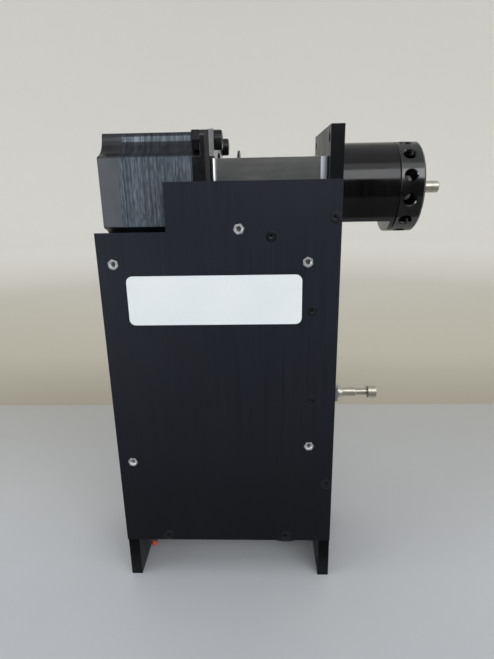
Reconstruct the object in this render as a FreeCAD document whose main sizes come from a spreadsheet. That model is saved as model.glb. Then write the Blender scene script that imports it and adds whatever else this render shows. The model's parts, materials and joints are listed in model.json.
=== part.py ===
"""Laboratory syringe pump module: case, rotary distribution valve and screw-driven plunger stage.

Frame: +X to the front (valve and syringe side), -Y to the labelled cover, +Z up, millimetres.
The origin is at the middle of the outer box, on the surface that the pump stands on.
"""
import FreeCAD, Part
import math
import operator
import os
import Sketcher

Vector = FreeCAD.Vector
Rotation = FreeCAD.Rotation

# ---------------------------------------------------------------- driving dimensions

DIMENSIONS = [
    # case
    ("rear_x", -87.85, "rear end of the case"),
    ("case_deep", 120.0, "depth of the case, rear to front panel"),
    ("half_wide", 34.925, "half the width over both covers"),
    ("tall", 254.0, "height of the front panel"),
    ("plate", 6.35, "thickness of the structural plates"),
    ("skin", 1.6, "thickness of the side covers and rear panel"),
    ("cover_low", 26.7, "underside of covers and base plate"),
    ("cover_top", 230.05, "top of the covers"),
    ("step_top", 206.75, "top of the covers behind the step"),
    ("step_deep", 35.15, "depth of the covers' lower step"),
    ("foot_tall", 70.9, "height of the rear foot"),
    ("panel_top", 195.0, "top of the rear panel"),
    ("panel_lap", 10.0, "overlap of rear panel and rear foot"),
    ("panel_hole_r", 2.2, "radius of the mounting holes"),
    ("panel_hole_y", 28.4, "mounting holes from the centre plane"),
    ("panel_hole_edge", 5.6, "mounting holes from the panel's ends"),
    ("bar_deep", 12.15, "depth of the cross bars"),
    ("bar_low", 112.3, "underside of the lower cross bar"),
    ("bar_tall", 9.4, "height of the lower cross bar"),
    ("bearing_bar_low", 160.15, "underside of the bearing bar"),
    ("bearing_bar_tall", 12.7, "height of the bearing bar"),
    ("nose_half", 21.5, "half width of bearing bar nose and carriage"),
    ("nose_x", -10.0, "rear face of the bearing bar's nose"),
    ("deck_x", -12.0, "rear edge of the valve deck"),
    ("deck_low", 200.8, "underside of the valve deck"),
    ("frame_screw_y", 22.0, "frame screws from the centre plane"),
    ("label_x", -74.25, "rear edge of the label"),
    ("label_long", 87.9, "length of the label"),
    ("label_low", 160.0, "lower edge of the label"),
    ("label_tall", 25.4, "height of the label"),
    ("label_thick", 0.2, "thickness of the label"),
    ("label_corner", 3.2, "corner radius of the label"),
    # screws
    ("m3_r", 1.5, "M3 shank radius"),
    ("m4_r", 2.0, "M4 shank radius"),
    ("m5_r", 2.5, "M5 shank radius"),
    ("snug", 0.02, "radial gap round a fixed screw"),
    ("loose", 0.1, "radial gap of a clearance hole"),
    ("float_gap", 0.15, "radial gap of a valve mounting screw"),
    ("cover_head_r", 3.0, "cover screw head radius"),
    ("cover_head_deep", 1.5, "cover screw head depth"),
    ("cover_screw_long", 8.0, "cover screw shank length"),
    ("socket_across", 2.0, "hexagon socket of the cover screws"),
    ("socket_deep", 1.2, "socket depth of the cover screws"),
    ("frame_head_r", 4.0, "frame screw head radius"),
    ("frame_head_deep", 2.2, "frame screw head depth"),
    ("frame_screw_long", 18.0, "frame screw length"),
    ("frame_socket", 2.5, "hexagon socket of the frame screws"),
    ("frame_socket_deep", 1.5, "socket depth of the frame screws"),
    ("cap_head_r", 2.75, "M3 cap screw head radius"),
    ("cap_well_r", 2.9, "well radius for an M3 cap screw head"),
    ("cap_well_deep", 3.2, "well depth for an M3 cap screw head"),
    ("cap_socket", 2.5, "hexagon socket of an M3 cap screw"),
    ("pan_head_r", 2.8, "rear panel screw head radius"),
    ("pan_slot_half", 2.2, "half length of a rear panel screw's slot"),
    ("pan_slot_wide", 0.8, "width and depth of that slot"),
    ("pan_screw_long", 6.0, "rear panel screw shank length"),
    # stand-offs and boards
    ("standoff_across", 4.8, "stand-off hexagon, across flats"),
    ("standoff_long", 7.94, "stand-off length inside the cover"),
    ("standoff_r", 2.1, "stand-off barrel radius"),
    ("standoff_hole_r", 1.25, "stand-off hole radius"),
    ("standoff_mouth", 0.45, "countersink of the stand-off hole"),
    ("press_gap", 0.04, "stand-off hexagon to the cover, across flats"),
    ("board_hole_r", 1.6, "board mounting hole radius"),
    ("board_thick", 1.6, "circuit board thickness"),
    # valve and its motor
    ("valve_z", 225.3, "height of the valve axis"),
    ("motor_half", 28.2, "half width of the valve motor"),
    ("motor_notch_r", 11.05, "corner notches of the valve motor"),
    ("motor_rear", -84.85, "rear end of the valve motor"),
    ("motor_bell", 10.0, "rear bell length"),
    ("motor_stack", 35.6, "lamination stack length"),
    ("motor_neck", 4.1, "front bell length behind its flange"),
    ("motor_flange", 2.3, "flange thickness"),
    ("motor_bolt", 23.57, "motor screws from the axis, each way"),
    ("motor_pilot_r", 19.05, "pilot boss radius"),
    ("motor_bore_r", 3.4, "bore of the valve motor's bells"),
    ("motor_corner_r", 3.0, "corner radius of the motor flange"),
    ("shim", 0.5, "steel shim thickness"),
    ("pad_thick", 1.7, "rubber isolator thickness"),
    ("sheet", 2.2, "bracket sheet thickness"),
    ("bend_r", 3.7, "bracket outer bend radius"),
    ("web_low", 214.0, "lower edge of the bracket web"),
    ("web_top", 240.4, "upper edge of the bracket web"),
    ("valve_r", 22.67, "valve radius"),
    ("valve_body_long", 27.6, "flat-bottomed length of the valve body"),
    ("valve_flat", 16.5, "valve axis to its flat underside"),
    ("lip", 2.3, "full-round lip length"),
    ("ring_long", 12.3, "port ring length"),
    ("ring_port_x", 5.1, "port axes from the ring's rear face"),
    ("port_r", 2.95, "port thread radius"),
    ("port_mouth_r", 3.5, "port mouth radius"),
    ("port_deep", 8.2, "port thread depth"),
    ("channel_r", 0.75, "fluid channel radius"),
    ("rotor_bore_r", 8.0, "bore for the valve rotor"),
    ("rotor_r", 7.93, "valve rotor radius"),
    ("valve_shaft_r", 3.0, "valve shaft radius"),
    ("shaft_out", 13.5, "valve shaft beyond the port ring"),
    ("syringe_port_x", 52.55, "syringe port axis"),
    ("mount_screw", 12.7, "valve mounting screws from the axis, each way"),
    ("opening_r", 12.0, "panel opening round the valve shaft"),
    ("disc_x", -18.35, "rear face of the encoder disc"),
    ("disc_r", 20.0, "encoder disc radius"),
    # plunger stage
    ("screw_x", 7.15, "lead screw axis"),
    ("screw_r", 4.0, "lead screw radius"),
    ("rod_y", 15.0, "guide rods from the centre plane"),
    ("rod_r", 3.0, "guide rod radius"),
    ("running", 0.03, "radial running clearance"),
    ("bush_r", 5.0, "bush outer radius"),
    ("bush_long", 10.0, "bush length"),
    ("pin_z", 106.5, "height of the plunger stud at the top of its stroke"),
    ("stroke", 60.0, "plunger stroke"),
    ("carriage_rear", -4.85, "rear face of the carriage"),
    ("carriage_front", 13.0, "front face of the carriage"),
    ("carriage_low", 93.5, "underside of the carriage"),
    ("carriage_tall", 48.0, "height of the carriage"),
    ("arm_half", 4.5, "half the arm's square section"),
    ("arm_out", 6.5, "arm beyond the front panel"),
    ("slot_half", 6.5, "half width of the panel slot"),
    ("slot_end", 1.0, "slot beyond the arm at both ends"),
    ("slot_corner", 2.5, "corner radius of the slot"),
    ("foot_r", 3.0, "lower journal radius of the lead screw"),
    ("head_r", 2.5, "upper journal radius of the lead screw"),
    ("lower_seat_r", 7.5, "lower bearing outer radius"),
    ("lower_seat_long", 5.0, "lower bearing length"),
    ("upper_seat_r", 5.5, "upper bearing outer radius"),
    ("upper_seat_long", 4.0, "upper bearing length"),
    # belt drive
    ("drive_x", -47.85, "drive motor axis"),
    ("drive_half", 21.15, "half width of the drive motor"),
    ("drive_tall", 48.0, "drive motor length"),
    ("drive_bolt", 15.5, "drive motor screws from the axis, each way"),
    ("drive_pilot_r", 11.0, "drive motor pilot radius"),
    ("drive_shaft_r", 2.5, "drive motor shaft radius"),
    ("pulley_low", 11.0, "underside of both pulleys"),
    ("pulley_tall", 12.0, "pulley height over its flanges"),
    ("pulley_flange", 1.0, "pulley flange thickness"),
    ("belt_low", 12.3, "lower edge of the belt"),
    ("belt_wide", 9.4, "belt width"),
    ("belt_thick", 1.35, "belt thickness"),
    ("big_belt_r", 16.81, "belt inner radius on the driven pulley"),
    ("small_belt_r", 8.21, "belt inner radius on the drive pulley"),
    ("belt_gap", 0.35, "pulley teeth to belt"),
    ("hub_drop", 2.5, "pulley hub below its flange"),
    ("tooth_gap_r", 0.75, "radius of the gaps between pulley teeth"),
]

doc = FreeCAD.newDocument("SyringePump")
sheet = doc.addObject("Spreadsheet::Sheet", "Dims")


class Size:
    """A length, together with the sheet expression that gives it."""

    def __init__(self, value, text):
        self.value = value
        self.text = text

    def combine(self, sign, other, swapped=False):
        left, right = (as_size(other), self) if swapped else (self, as_size(other))
        value = OPERATIONS[sign](left.value, right.value)
        return Size(value, f"({left.text} {sign} {right.text})")

    def __add__(self, other):
        return self.combine("+", other)

    def __radd__(self, other):
        return self.combine("+", other, True)

    def __sub__(self, other):
        return self.combine("-", other)

    def __rsub__(self, other):
        return self.combine("-", other, True)

    def __mul__(self, other):
        return self.combine("*", other)

    def __rmul__(self, other):
        return self.combine("*", other, True)

    def __truediv__(self, other):
        return self.combine("/", other)

    def __neg__(self):
        return self.combine("*", -1)


OPERATIONS = {"+": operator.add, "-": operator.sub, "*": operator.mul, "/": operator.truediv}


def as_size(number):
    """A plain number as a Size; a Size stays as it is."""
    return number if isinstance(number, Size) else Size(number, f"({number!r})")


class Dimensions:
    """One attribute for each named cell of the sheet."""


d = Dimensions()
for row, (alias, amount, meaning) in enumerate(DIMENSIONS, start=1):
    sheet.set(f"A{row}", meaning)
    sheet.set(f"B{row}", repr(amount))
    sheet.setAlias(f"B{row}", alias)
    setattr(d, alias, Size(amount, f"Dims.{alias}"))
doc.recompute()

front_x = d.rear_x + d.case_deep
plate_x = front_x - d.plate
inner_y = d.half_wide - d.skin
base_top = d.cover_low + d.plate
carriage_top = d.carriage_low + d.carriage_tall

# ---------------------------------------------------------------- drawing helpers

ALONG = {
    "z": Rotation(),
    "-z": Rotation(Vector(1, 0, 0), 180),
    "x": Rotation(Vector(0, 1, 0), 90),
    "-x": Rotation(Vector(0, 1, 0), -90),
    "y": Rotation(Vector(1, 0, 0), -90),
    "-y": Rotation(Vector(1, 0, 0), 90),
}
SIGNS = (-1, 1)
CORNERS = [(one, other) for one in SIGNS for other in SIGNS]
finished = []


def bind(item, path, size):
    """Tie one property of an object to the sheet."""
    item.setExpression(path, as_size(size).text)


def put(item, at, along="z"):
    """Turn an object's own Z along a row axis, then place it."""
    item.Placement = FreeCAD.Placement(Vector(), ALONG[along])
    for axis, place in zip("xyz", at):
        bind(item, f"Placement.Base.{axis}", place)
    return item


def block(x_range, y_range, z_range, name="block"):
    """A box between two places on each axis."""
    item = doc.addObject("Part::Box", name)
    for side, (low, high) in zip(("Length", "Width", "Height"), (x_range, y_range, z_range)):
        bind(item, side, high - low)
    return put(item, (x_range[0], y_range[0], z_range[0]))


def rod(radius, length, at, along="z", name="rod"):
    """A cylinder that starts at a point and runs along an axis."""
    item = doc.addObject("Part::Cylinder", name)
    bind(item, "Radius", radius)
    bind(item, "Height", length)
    return put(item, at, along)


def taper(start_radius, end_radius, length, at, along="z", name="taper"):
    """A cone that starts at a point and runs along an axis."""
    item = doc.addObject("Part::Cone", name)
    bind(item, "Radius1", start_radius)
    bind(item, "Radius2", end_radius)
    bind(item, "Height", length)
    return put(item, at, along)


def hexagon(across, length, at, along="z", name="hexagon"):
    """A six-sided prism, given across its flats."""
    item = doc.addObject("Part::Prism", name)
    item.Polygon = 6
    bind(item, "Circumradius", across / math.sqrt(3))
    bind(item, "Height", length)
    return put(item, at, along)


def fuse(*items, name="fuse"):
    """One solid from several."""
    item = doc.addObject("Part::MultiFuse", name)
    item.Shapes = list(items)
    return item


def cut(base, *tools, name="cut"):
    """A solid with others taken out of it."""
    item = doc.addObject("Part::Cut", name)
    item.Base = base
    item.Tool = tools[0] if len(tools) == 1 else fuse(*tools)
    return item


def group(items, name="group"):
    """Separate solids that share a node."""
    item = doc.addObject("Part::Compound", name)
    item.Links = list(items)
    return item


def ring(inner, outer, length, at, along="z"):
    """A tube that starts at a point and runs along an axis."""
    return cut(rod(outer, length, at, along), rod(inner, length, at, along))


def finish(item, label):
    """Give a finished sub-part the name of its node."""
    item.Label = label
    finished.append(item)
    return item


def new_body(name):
    return doc.addObject("PartDesign::Body", name)


def sketch_on(body, role, offset=0.0):
    """A sketch on one of the body's own planes, moved along that plane's normal."""
    sketch = body.newObject("Sketcher::SketchObject", "outline")
    plane = [item for item in body.Origin.OriginFeatures if item.Role == role][0]
    sketch.AttachmentSupport = (plane, [""])
    sketch.MapMode = "FlatFace"
    bind(sketch, "AttachmentOffset.Base.z", offset)
    return sketch


def fix_point(sketch, edge, end, place):
    """Hold one sketch point at a place measured from the sketch's origin."""
    for kind, size in zip(("DistanceX", "DistanceY"), place):
        size = as_size(size)
        index = sketch.addConstraint(Sketcher.Constraint(kind, -1, 1, edge, end, size.value))
        sketch.setExpression(f"Constraints[{index}]", size.text)


def draw_loop(sketch, points, arcs=None):
    """A closed outline; arcs gives the centre and radius of each edge that is round."""
    arcs = arcs or {}
    corners = [Vector(as_size(u).value, as_size(v).value, 0) for u, v in points]
    edges = []
    for index, start in enumerate(corners):
        end = corners[(index + 1) % len(corners)]
        if index in arcs:
            edges.append(draw_arc(sketch, start, end, arcs[index]))
        else:
            edge = sketch.addGeometry(Part.LineSegment(start, end))
            edges.append((edge, 1, 2))
    for index, (edge, _, last) in enumerate(edges):
        following, first, _ = edges[(index + 1) % len(edges)]
        sketch.addConstraint(Sketcher.Constraint("Coincident", edge, last, following, first))
    for (edge, first, _), point in zip(edges, points):
        fix_point(sketch, edge, first, point)


def draw_arc(sketch, start, end, centre_and_radius):
    """The shorter arc from start to end; returns its index and its first and last ends."""
    (centre_u, centre_v), radius = centre_and_radius
    centre = Vector(as_size(centre_u).value, as_size(centre_v).value, 0)
    first = math.atan2(start.y - centre.y, start.x - centre.x)
    last = math.atan2(end.y - centre.y, end.x - centre.x)
    circle = Part.Circle(centre, Vector(0, 0, 1), as_size(radius).value)
    turns_left = (last - first) % (2 * math.pi) < math.pi
    if turns_left:
        edge, ends = sketch.addGeometry(Part.ArcOfCircle(circle, first, last)), (1, 2)
    else:
        edge, ends = sketch.addGeometry(Part.ArcOfCircle(circle, last, first)), (2, 1)
    index = sketch.addConstraint(Sketcher.Constraint("Radius", edge, as_size(radius).value))
    sketch.setExpression(f"Constraints[{index}]", as_size(radius).text)
    return edge, ends[0], ends[1]


def draw_circle(sketch, u, v, radius):
    """A round hole or disc in a sketch."""
    centre = Vector(as_size(u).value, as_size(v).value, 0)
    edge = sketch.addGeometry(Part.Circle(centre, Vector(0, 0, 1), as_size(radius).value))
    fix_point(sketch, edge, 3, (u, v))
    index = sketch.addConstraint(Sketcher.Constraint("Radius", edge, as_size(radius).value))
    sketch.setExpression(f"Constraints[{index}]", as_size(radius).text)


def draw_rectangle(sketch, u_range, v_range):
    """An upright rectangle in a sketch."""
    (left, right), (low, high) = u_range, v_range
    draw_loop(sketch, [(left, low), (right, low), (right, high), (left, high)])


def draw_rounded(sketch, u_range, v_range, corner):
    """A rectangle with four round corners."""
    (left, right), (low, high) = u_range, v_range
    points = [
        (left + corner, low), (right - corner, low), (right, low + corner), (right, high - corner),
        (right - corner, high), (left + corner, high), (left, high - corner), (left, low + corner),
    ]
    arcs = {
        1: ((right - corner, low + corner), corner), 3: ((right - corner, high - corner), corner),
        5: ((left + corner, high - corner), corner), 7: ((left + corner, low + corner), corner),
    }
    draw_loop(sketch, points, arcs)


def pad(body, sketch, length):
    """Thicken a sketch along its normal."""
    feature = body.newObject("PartDesign::Pad", "pad")
    feature.Profile = sketch
    bind(feature, "Length", length)
    return feature


def round_edges(body, radius, wanted):
    """Fillet those edges of the body's last feature that wanted() accepts."""
    doc.recompute()
    base = body.Tip
    names = [f"Edge{number}" for number, edge in enumerate(base.Shape.Edges, start=1) if wanted(edge)]
    feature = body.newObject("PartDesign::Fillet", "rounding")
    feature.Base = (base, names)
    bind(feature, "Radius", radius)


def stands_at(edge, x, y):
    """True for an upright edge over a place on the XY plane."""
    ends = [vertex.Point for vertex in edge.Vertexes]
    near = all(abs(end.x - x) < 0.01 and abs(end.y - y) < 0.01 for end in ends)
    return near and len(ends) == 2


def turned(name, profile, at=(0, 0, 0), about="x"):
    """A turned piece: profile lists (place along the axis, radius) from one end to the other."""
    body = new_body(name)
    sketch = sketch_on(body, "XZ_Plane")
    start, end = profile[0][0], profile[-1][0]
    if about == "x":
        points = [(start, 0)] + list(profile) + [(end, 0)]
    else:
        points = [(0, start)] + [(radius, place) for place, radius in profile] + [(0, end)]
    draw_loop(sketch, points)
    feature = body.newObject("PartDesign::Revolution", "revolution")
    feature.Profile = sketch
    feature.ReferenceAxis = (sketch, ["H_Axis" if about == "x" else "V_Axis"])
    feature.Angle = 360
    for axis, place in zip("xyz", at):
        bind(body, f"Placement.Base.{axis}", place)
    return body


def four_screws(spacing, make):
    """Four pieces on a square pattern: make(y, z) gives each one."""
    return [make(one * spacing, other * spacing) for one, other in CORNERS]


# ---------------------------------------------------------------- cover fasteners

plate_middle = front_x - d.plate / 2
base_middle = d.cover_low + d.plate / 2
COVER_SCREWS = {
    "deck": [(-1.55, d.deck_low + d.plate / 2)],
    "front": [(plate_middle, 212.5), (plate_middle, 65.3)],
    "bearing_bar": [(18.95, d.bearing_bar_low + d.bearing_bar_tall / 2)],
    "lower_bar": [(19.75, d.bar_low + d.bar_tall / 2)],
    "base": [(-62.95, base_middle), (6.35, base_middle)],
}
BOARD_STANDOFFS = [(-80.05, 191.4), (16.35, 191.4), (18.75, 89.5), (-80.05, 79.5)]
SENSOR_STANDOFF = (-17.25, 207.8)
STANDOFFS = BOARD_STANDOFFS + [SENSOR_STANDOFF]
all_cover_screws = [place for places in COVER_SCREWS.values() for place in places]
board_y = d.standoff_long - inner_y
board_face_y = board_y + d.board_thick


def inward(side):
    """The axis that points from a cover into the case."""
    return "y" if side < 0 else "-y"


def edge_holes(places):
    """Threaded holes for the cover screws, in both edges of a plate."""
    deep = d.cover_screw_long - d.skin + d.cover_head_deep + 1
    return [
        rod(d.m3_r + d.snug, deep, (x, side * inner_y, z), inward(side))
        for x, z in places for side in SIGNS
    ]


def cover_screw(x, z, side):
    """A countersunk socket screw, flush with the cover."""
    face = side * d.half_wide
    under_head = side * (d.half_wide - d.cover_head_deep)
    head = taper(d.cover_head_r, d.m3_r, d.cover_head_deep, (x, face, z), inward(side))
    shank = rod(d.m3_r, d.cover_screw_long, (x, under_head, z), inward(side))
    socket = hexagon(d.socket_across, d.socket_deep, (x, face, z), inward(side))
    return cut(fuse(head, shank), socket)


def screw_seats(side):
    """Countersinks and clearance holes through one cover."""
    seats = []
    for x, z in all_cover_screws:
        face = (x, side * d.half_wide, z)
        seats.append(taper(
            d.cover_head_r + d.loose, d.m3_r + d.loose, d.cover_head_deep, face, inward(side)))
        seats.append(rod(d.m3_r + d.loose, d.skin, face, inward(side)))
    return seats


def cover_outline(name, offset):
    """A flat cover: a tall plate with a lower step at its rear."""
    body = new_body(name)
    sketch = sketch_on(body, "XZ_Plane", offset)
    step_x = d.rear_x + d.step_deep
    draw_loop(sketch, [
        (d.rear_x, d.cover_low), (front_x, d.cover_low), (front_x, d.cover_top),
        (step_x, d.cover_top), (step_x, d.step_top), (d.rear_x, d.step_top),
    ])
    pad(body, sketch, d.skin)
    return body


# ---------------------------------------------------------------- case

def make_covers():
    near = cover_outline("near_cover_sheet", inner_y)
    seats = [
        hexagon(d.standoff_across + d.press_gap, d.skin, (x, -d.half_wide, z), "y") for x, z in STANDOFFS
    ]
    finish(cut(near, *screw_seats(-1), *seats), "side_cover")
    far = cover_outline("far_cover_sheet", -d.half_wide)
    finish(cut(far, *screw_seats(1)), "far_side_cover")
    screws = [cover_screw(x, z, side) for x, z in all_cover_screws for side in SIGNS]
    finish(group(screws), "cover_screws")


def make_label():
    body = new_body("label_sheet")
    sketch = sketch_on(body, "XZ_Plane", d.half_wide)
    long_range = (d.label_x, d.label_x + d.label_long)
    draw_rounded(sketch, long_range, (d.label_low, d.label_low + d.label_tall), d.label_corner)
    pad(body, sketch, d.label_thick)
    finish(body, "blank_label")


def make_standoffs():
    """Clinched stand-offs: a hexagon head flush in the cover and a round barrel inside."""
    pieces = []
    for x, z in STANDOFFS:
        head = hexagon(d.standoff_across, d.skin, (x, -d.half_wide, z), "y")
        barrel = rod(d.standoff_r, d.standoff_long, (x, -inner_y, z), "y")
        hole = rod(d.standoff_hole_r, d.standoff_long + d.skin, (x, -d.half_wide, z), "y")
        mouth = taper(
            d.standoff_hole_r + d.standoff_mouth, d.standoff_hole_r, d.standoff_mouth,
            (x, -d.half_wide, z), "y")
        pieces.append(cut(fuse(head, barrel), hole, mouth))
    finish(group(pieces), "cover_standoffs")


FRAME_ROWS = [
    base_middle,
    d.bar_low + d.bar_tall / 2,
    d.bearing_bar_low + d.bearing_bar_tall / 2,
    d.deck_low + d.plate / 2,
]


def frame_screw(y, z, face_x, along):
    """A countersunk frame screw that enters a plate's outer face."""
    step = 1 if along == "x" else -1
    head = taper(d.frame_head_r, d.m4_r, d.frame_head_deep, (face_x, y, z), along)
    shank_x = face_x + step * d.frame_head_deep
    shank = rod(d.m4_r, d.frame_screw_long - d.frame_head_deep, (shank_x, y, z), along)
    socket = hexagon(d.frame_socket, d.frame_socket_deep, (face_x, y, z), along)
    return cut(fuse(head, shank), socket)


def frame_seat(y, z, face_x, along):
    """The countersunk hole for a frame screw, to its full length."""
    sink = taper(d.frame_head_r + 0.05, d.m4_r + 0.05, d.frame_head_deep, (face_x, y, z), along)
    hole = rod(d.m4_r + d.snug, d.frame_screw_long + 0.5, (face_x, y, z), along)
    return [sink, hole]


def frame_seats(rows, face_x, along):
    seats = []
    for z in rows:
        for side in SIGNS:
            seats.extend(frame_seat(side * d.frame_screw_y, z, face_x, along))
    return seats


def make_front_panel():
    """The tall front panel: mounting holes, valve opening and the slot for the plunger arm."""
    body = new_body("front_sheet")
    sketch = sketch_on(body, "YZ_Plane", plate_x)
    draw_rectangle(sketch, (-inner_y, inner_y), (0, d.tall))
    for side in SIGNS:
        for height in (d.panel_hole_edge, d.tall - d.panel_hole_edge):
            draw_circle(sketch, side * d.panel_hole_y, height, d.panel_hole_r)
    draw_circle(sketch, 0, d.valve_z, d.opening_r)
    for one, other in CORNERS:
        draw_circle(sketch, one * d.mount_screw, d.valve_z + other * d.mount_screw, d.m4_r + d.float_gap)
    slot_high = d.pin_z + d.arm_half + d.slot_end
    slot_low = d.pin_z - d.stroke - d.arm_half - d.slot_end
    draw_rounded(sketch, (-d.slot_half, d.slot_half), (slot_low, slot_high), d.slot_corner)
    pad(body, sketch, d.plate)
    seats = frame_seats(FRAME_ROWS, front_x, "-x")
    finish(cut(body, *edge_holes(COVER_SCREWS["front"]), *seats), "front_panel")
    return [
        frame_screw(side * d.frame_screw_y, z, front_x, "-x") for z in FRAME_ROWS for side in SIGNS
    ]


rear_lap = d.foot_tall - d.panel_lap
BEARING_LEDGE = 1.5
UPPER_BORE_R = 3.2
PANEL_SCREW_Y = 24.0
DATA_WINDOW = (-25.5, -9.5), (106, 149)
DATA_WINDOW_CORNER = 1.5
VENTS, VENT_LOW, VENT_PITCH = 6, 158, 5
VENT_HALF, VENT_TALL, VENT_CORNER = 18, 2.4, 1.15


def panel_screw(y):
    """A pan-head screw that holds the rear panel to the rear foot."""
    height = d.foot_tall - d.panel_lap / 2
    head = rod(d.pan_head_r, d.skin, (d.rear_x, y, height), "x")
    slot = block(
        (d.rear_x, d.rear_x + d.pan_slot_wide), (y - d.pan_slot_half, y + d.pan_slot_half),
        (height - d.pan_slot_wide / 2, height + d.pan_slot_wide / 2))
    shank = rod(d.m3_r, d.pan_screw_long, (d.rear_x + d.skin, y, height), "x")
    return cut(fuse(head, shank), slot)


def make_rear():
    """The rear foot and, lapped over its top, the thin rear panel."""
    foot_x = d.rear_x + d.plate
    foot = block((d.rear_x, foot_x), (-inner_y, inner_y), (0, d.foot_tall))
    rebate = block((d.rear_x, d.rear_x + d.skin), (-inner_y, inner_y), (rear_lap, d.foot_tall))
    height = d.foot_tall - d.panel_lap / 2
    threads = [
        rod(d.m3_r + d.snug, d.plate, (d.rear_x, side * PANEL_SCREW_Y, height), "x") for side in SIGNS
    ]
    seats = frame_seats([base_middle], d.rear_x, "x")
    finish(cut(foot, rebate, *threads, *seats), "rear_foot")

    body = new_body("rear_sheet")
    sketch = sketch_on(body, "YZ_Plane", d.rear_x)
    draw_rectangle(sketch, (-inner_y, inner_y), (rear_lap, d.panel_top))
    for side in SIGNS:
        draw_circle(sketch, side * PANEL_SCREW_Y, height, d.pan_head_r + d.snug)
    draw_rounded(sketch, *DATA_WINDOW, DATA_WINDOW_CORNER)
    for row in range(VENTS):
        vent_low = VENT_LOW + VENT_PITCH * row
        draw_rounded(sketch, (-VENT_HALF, VENT_HALF), (vent_low, vent_low + VENT_TALL), VENT_CORNER)
    pad(body, sketch, d.skin)
    finish(body, "rear_panel")

    foot_screws = [
        frame_screw(side * d.frame_screw_y, base_middle, d.rear_x, "x") for side in SIGNS
    ]
    return foot_screws + [panel_screw(side * PANEL_SCREW_Y) for side in SIGNS]


def make_base_plate():
    """The base plate: seat of the lower bearing, the guide rods and the drive motor."""
    rear = d.rear_x + d.plate
    body = new_body("base_sheet")
    sketch = sketch_on(body, "XY_Plane", d.cover_low)
    draw_rectangle(sketch, (rear, plate_x), (-inner_y, inner_y))
    draw_circle(sketch, d.screw_x, 0, d.lower_seat_r - BEARING_LEDGE)
    draw_circle(sketch, d.drive_x, 0, d.drive_pilot_r + 0.05)
    for side in SIGNS:
        draw_circle(sketch, d.screw_x, side * d.rod_y, d.rod_r + d.snug)
    for one, other in CORNERS:
        draw_circle(sketch, d.drive_x + one * d.drive_bolt, other * d.drive_bolt, d.m3_r + d.loose)
    draw_circle(sketch, LAMP_X, LAMP_Y, LAMP_STEM_R + 0.05)
    pad(body, sketch, d.plate)
    seat = rod(d.lower_seat_r, d.lower_seat_long, (d.screw_x, 0, d.cover_low))
    seats = frame_seats([base_middle], front_x, "-x") + frame_seats([base_middle], d.rear_x, "x")
    finish(cut(body, seat, *edge_holes(COVER_SCREWS["base"]), *seats), "base_plate")


def make_bars():
    """Cross bars behind the front panel, and the deck under the valve drive."""
    bar_x = plate_x - d.bar_deep
    wide = (-inner_y, inner_y)
    lower = block((bar_x, plate_x), wide, (d.bar_low, d.bar_low + d.bar_tall))
    lower_seats = frame_seats(FRAME_ROWS[1:2], front_x, "-x")
    finish(cut(lower, *edge_holes(COVER_SCREWS["lower_bar"]), *lower_seats), "lower_cross_bar")

    body = new_body("bearing_bar_sheet")
    sketch = sketch_on(body, "XY_Plane", d.bearing_bar_low)
    draw_loop(sketch, [
        (d.nose_x, -d.nose_half), (bar_x, -d.nose_half), (bar_x, -inner_y), (plate_x, -inner_y),
        (plate_x, inner_y), (bar_x, inner_y), (bar_x, d.nose_half), (d.nose_x, d.nose_half),
    ])
    draw_circle(sketch, d.screw_x, 0, UPPER_BORE_R)
    for side in SIGNS:
        draw_circle(sketch, d.screw_x, side * d.rod_y, d.rod_r + d.snug)
    pad(body, sketch, d.bearing_bar_tall)
    seat = rod(d.upper_seat_r, d.upper_seat_long + 0.5, (d.screw_x, 0, d.bearing_bar_low))
    bar_seats = frame_seats(FRAME_ROWS[2:3], front_x, "-x")
    holes = edge_holes(COVER_SCREWS["bearing_bar"])
    finish(cut(body, seat, *holes, *bar_seats), "bearing_bar")

    deck = block((d.deck_x, plate_x), wide, (d.deck_low, d.deck_low + d.plate))
    deck_seats = frame_seats(FRAME_ROWS[3:4], front_x, "-x")
    finish(cut(deck, *edge_holes(COVER_SCREWS["deck"]), *deck_seats), "valve_deck")


# ---------------------------------------------------------------- valve drive

stack_x = d.motor_rear + d.motor_bell
neck_x = stack_x + d.motor_stack
flange_x = neck_x + d.motor_neck
shim_x = flange_x + d.motor_flange
pad_x = shim_x + d.shim
bracket_x = pad_x + d.pad_thick
bracket_face_x = bracket_x + d.sheet
MOTOR_SHAFT_R = 3.175
MOTOR_SHAFT_END = -7.0
MOTOR_BEARING_R = 8.0
MOTOR_BEARING_LONG = 5
REAR_SEAT_DEEP = 6
STATOR_BORE_R = 14
PILOT_LONG = 1.6
TIE_SCREW = 17.3
TIE_SCREW_R = 1.6
TIE_HEAD_R = 2.8
FLAT_EASE = 1.7


def notched_section(sketch, half, notch_r):
    """A square with a round notch out of each corner and eased edges beside it."""
    shoulder = half - notch_r
    points, arcs = [], {}
    reach = half - FLAT_EASE
    flat = shoulder - FLAT_EASE / 2
    drop = half - math.sqrt(notch_r.value ** 2 - FLAT_EASE ** 2)
    turns = [(1, 1), (-1, 1), (-1, -1), (1, -1)]
    for along, across in turns:
        near_first = along == across
        first = (along * half, across * flat)
        eased = (along * reach, across * drop)
        mirror_eased = (along * drop, across * reach)
        last = (along * flat, across * half)
        run = [first, eased, mirror_eased, last]
        if not near_first:
            run.reverse()
        arcs[len(points) + 1] = ((along * half, across * half), notch_r)
        points.extend(run)
    draw_loop(sketch, points, arcs)


def motor_section(name, start, length, bore):
    """One length of the valve motor's notched body, bored for the rotor or a shaft."""
    body = new_body(name)
    sketch = sketch_on(body, "YZ_Plane", start)
    notched_section(sketch, d.motor_half, d.motor_notch_r)
    draw_circle(sketch, 0, 0, bore)
    for one, other in CORNERS:
        draw_circle(sketch, one * TIE_SCREW, other * TIE_SCREW, TIE_SCREW_R)
    pad(body, sketch, length)
    bind(body, "Placement.Base.z", d.valve_z)
    return body


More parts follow.
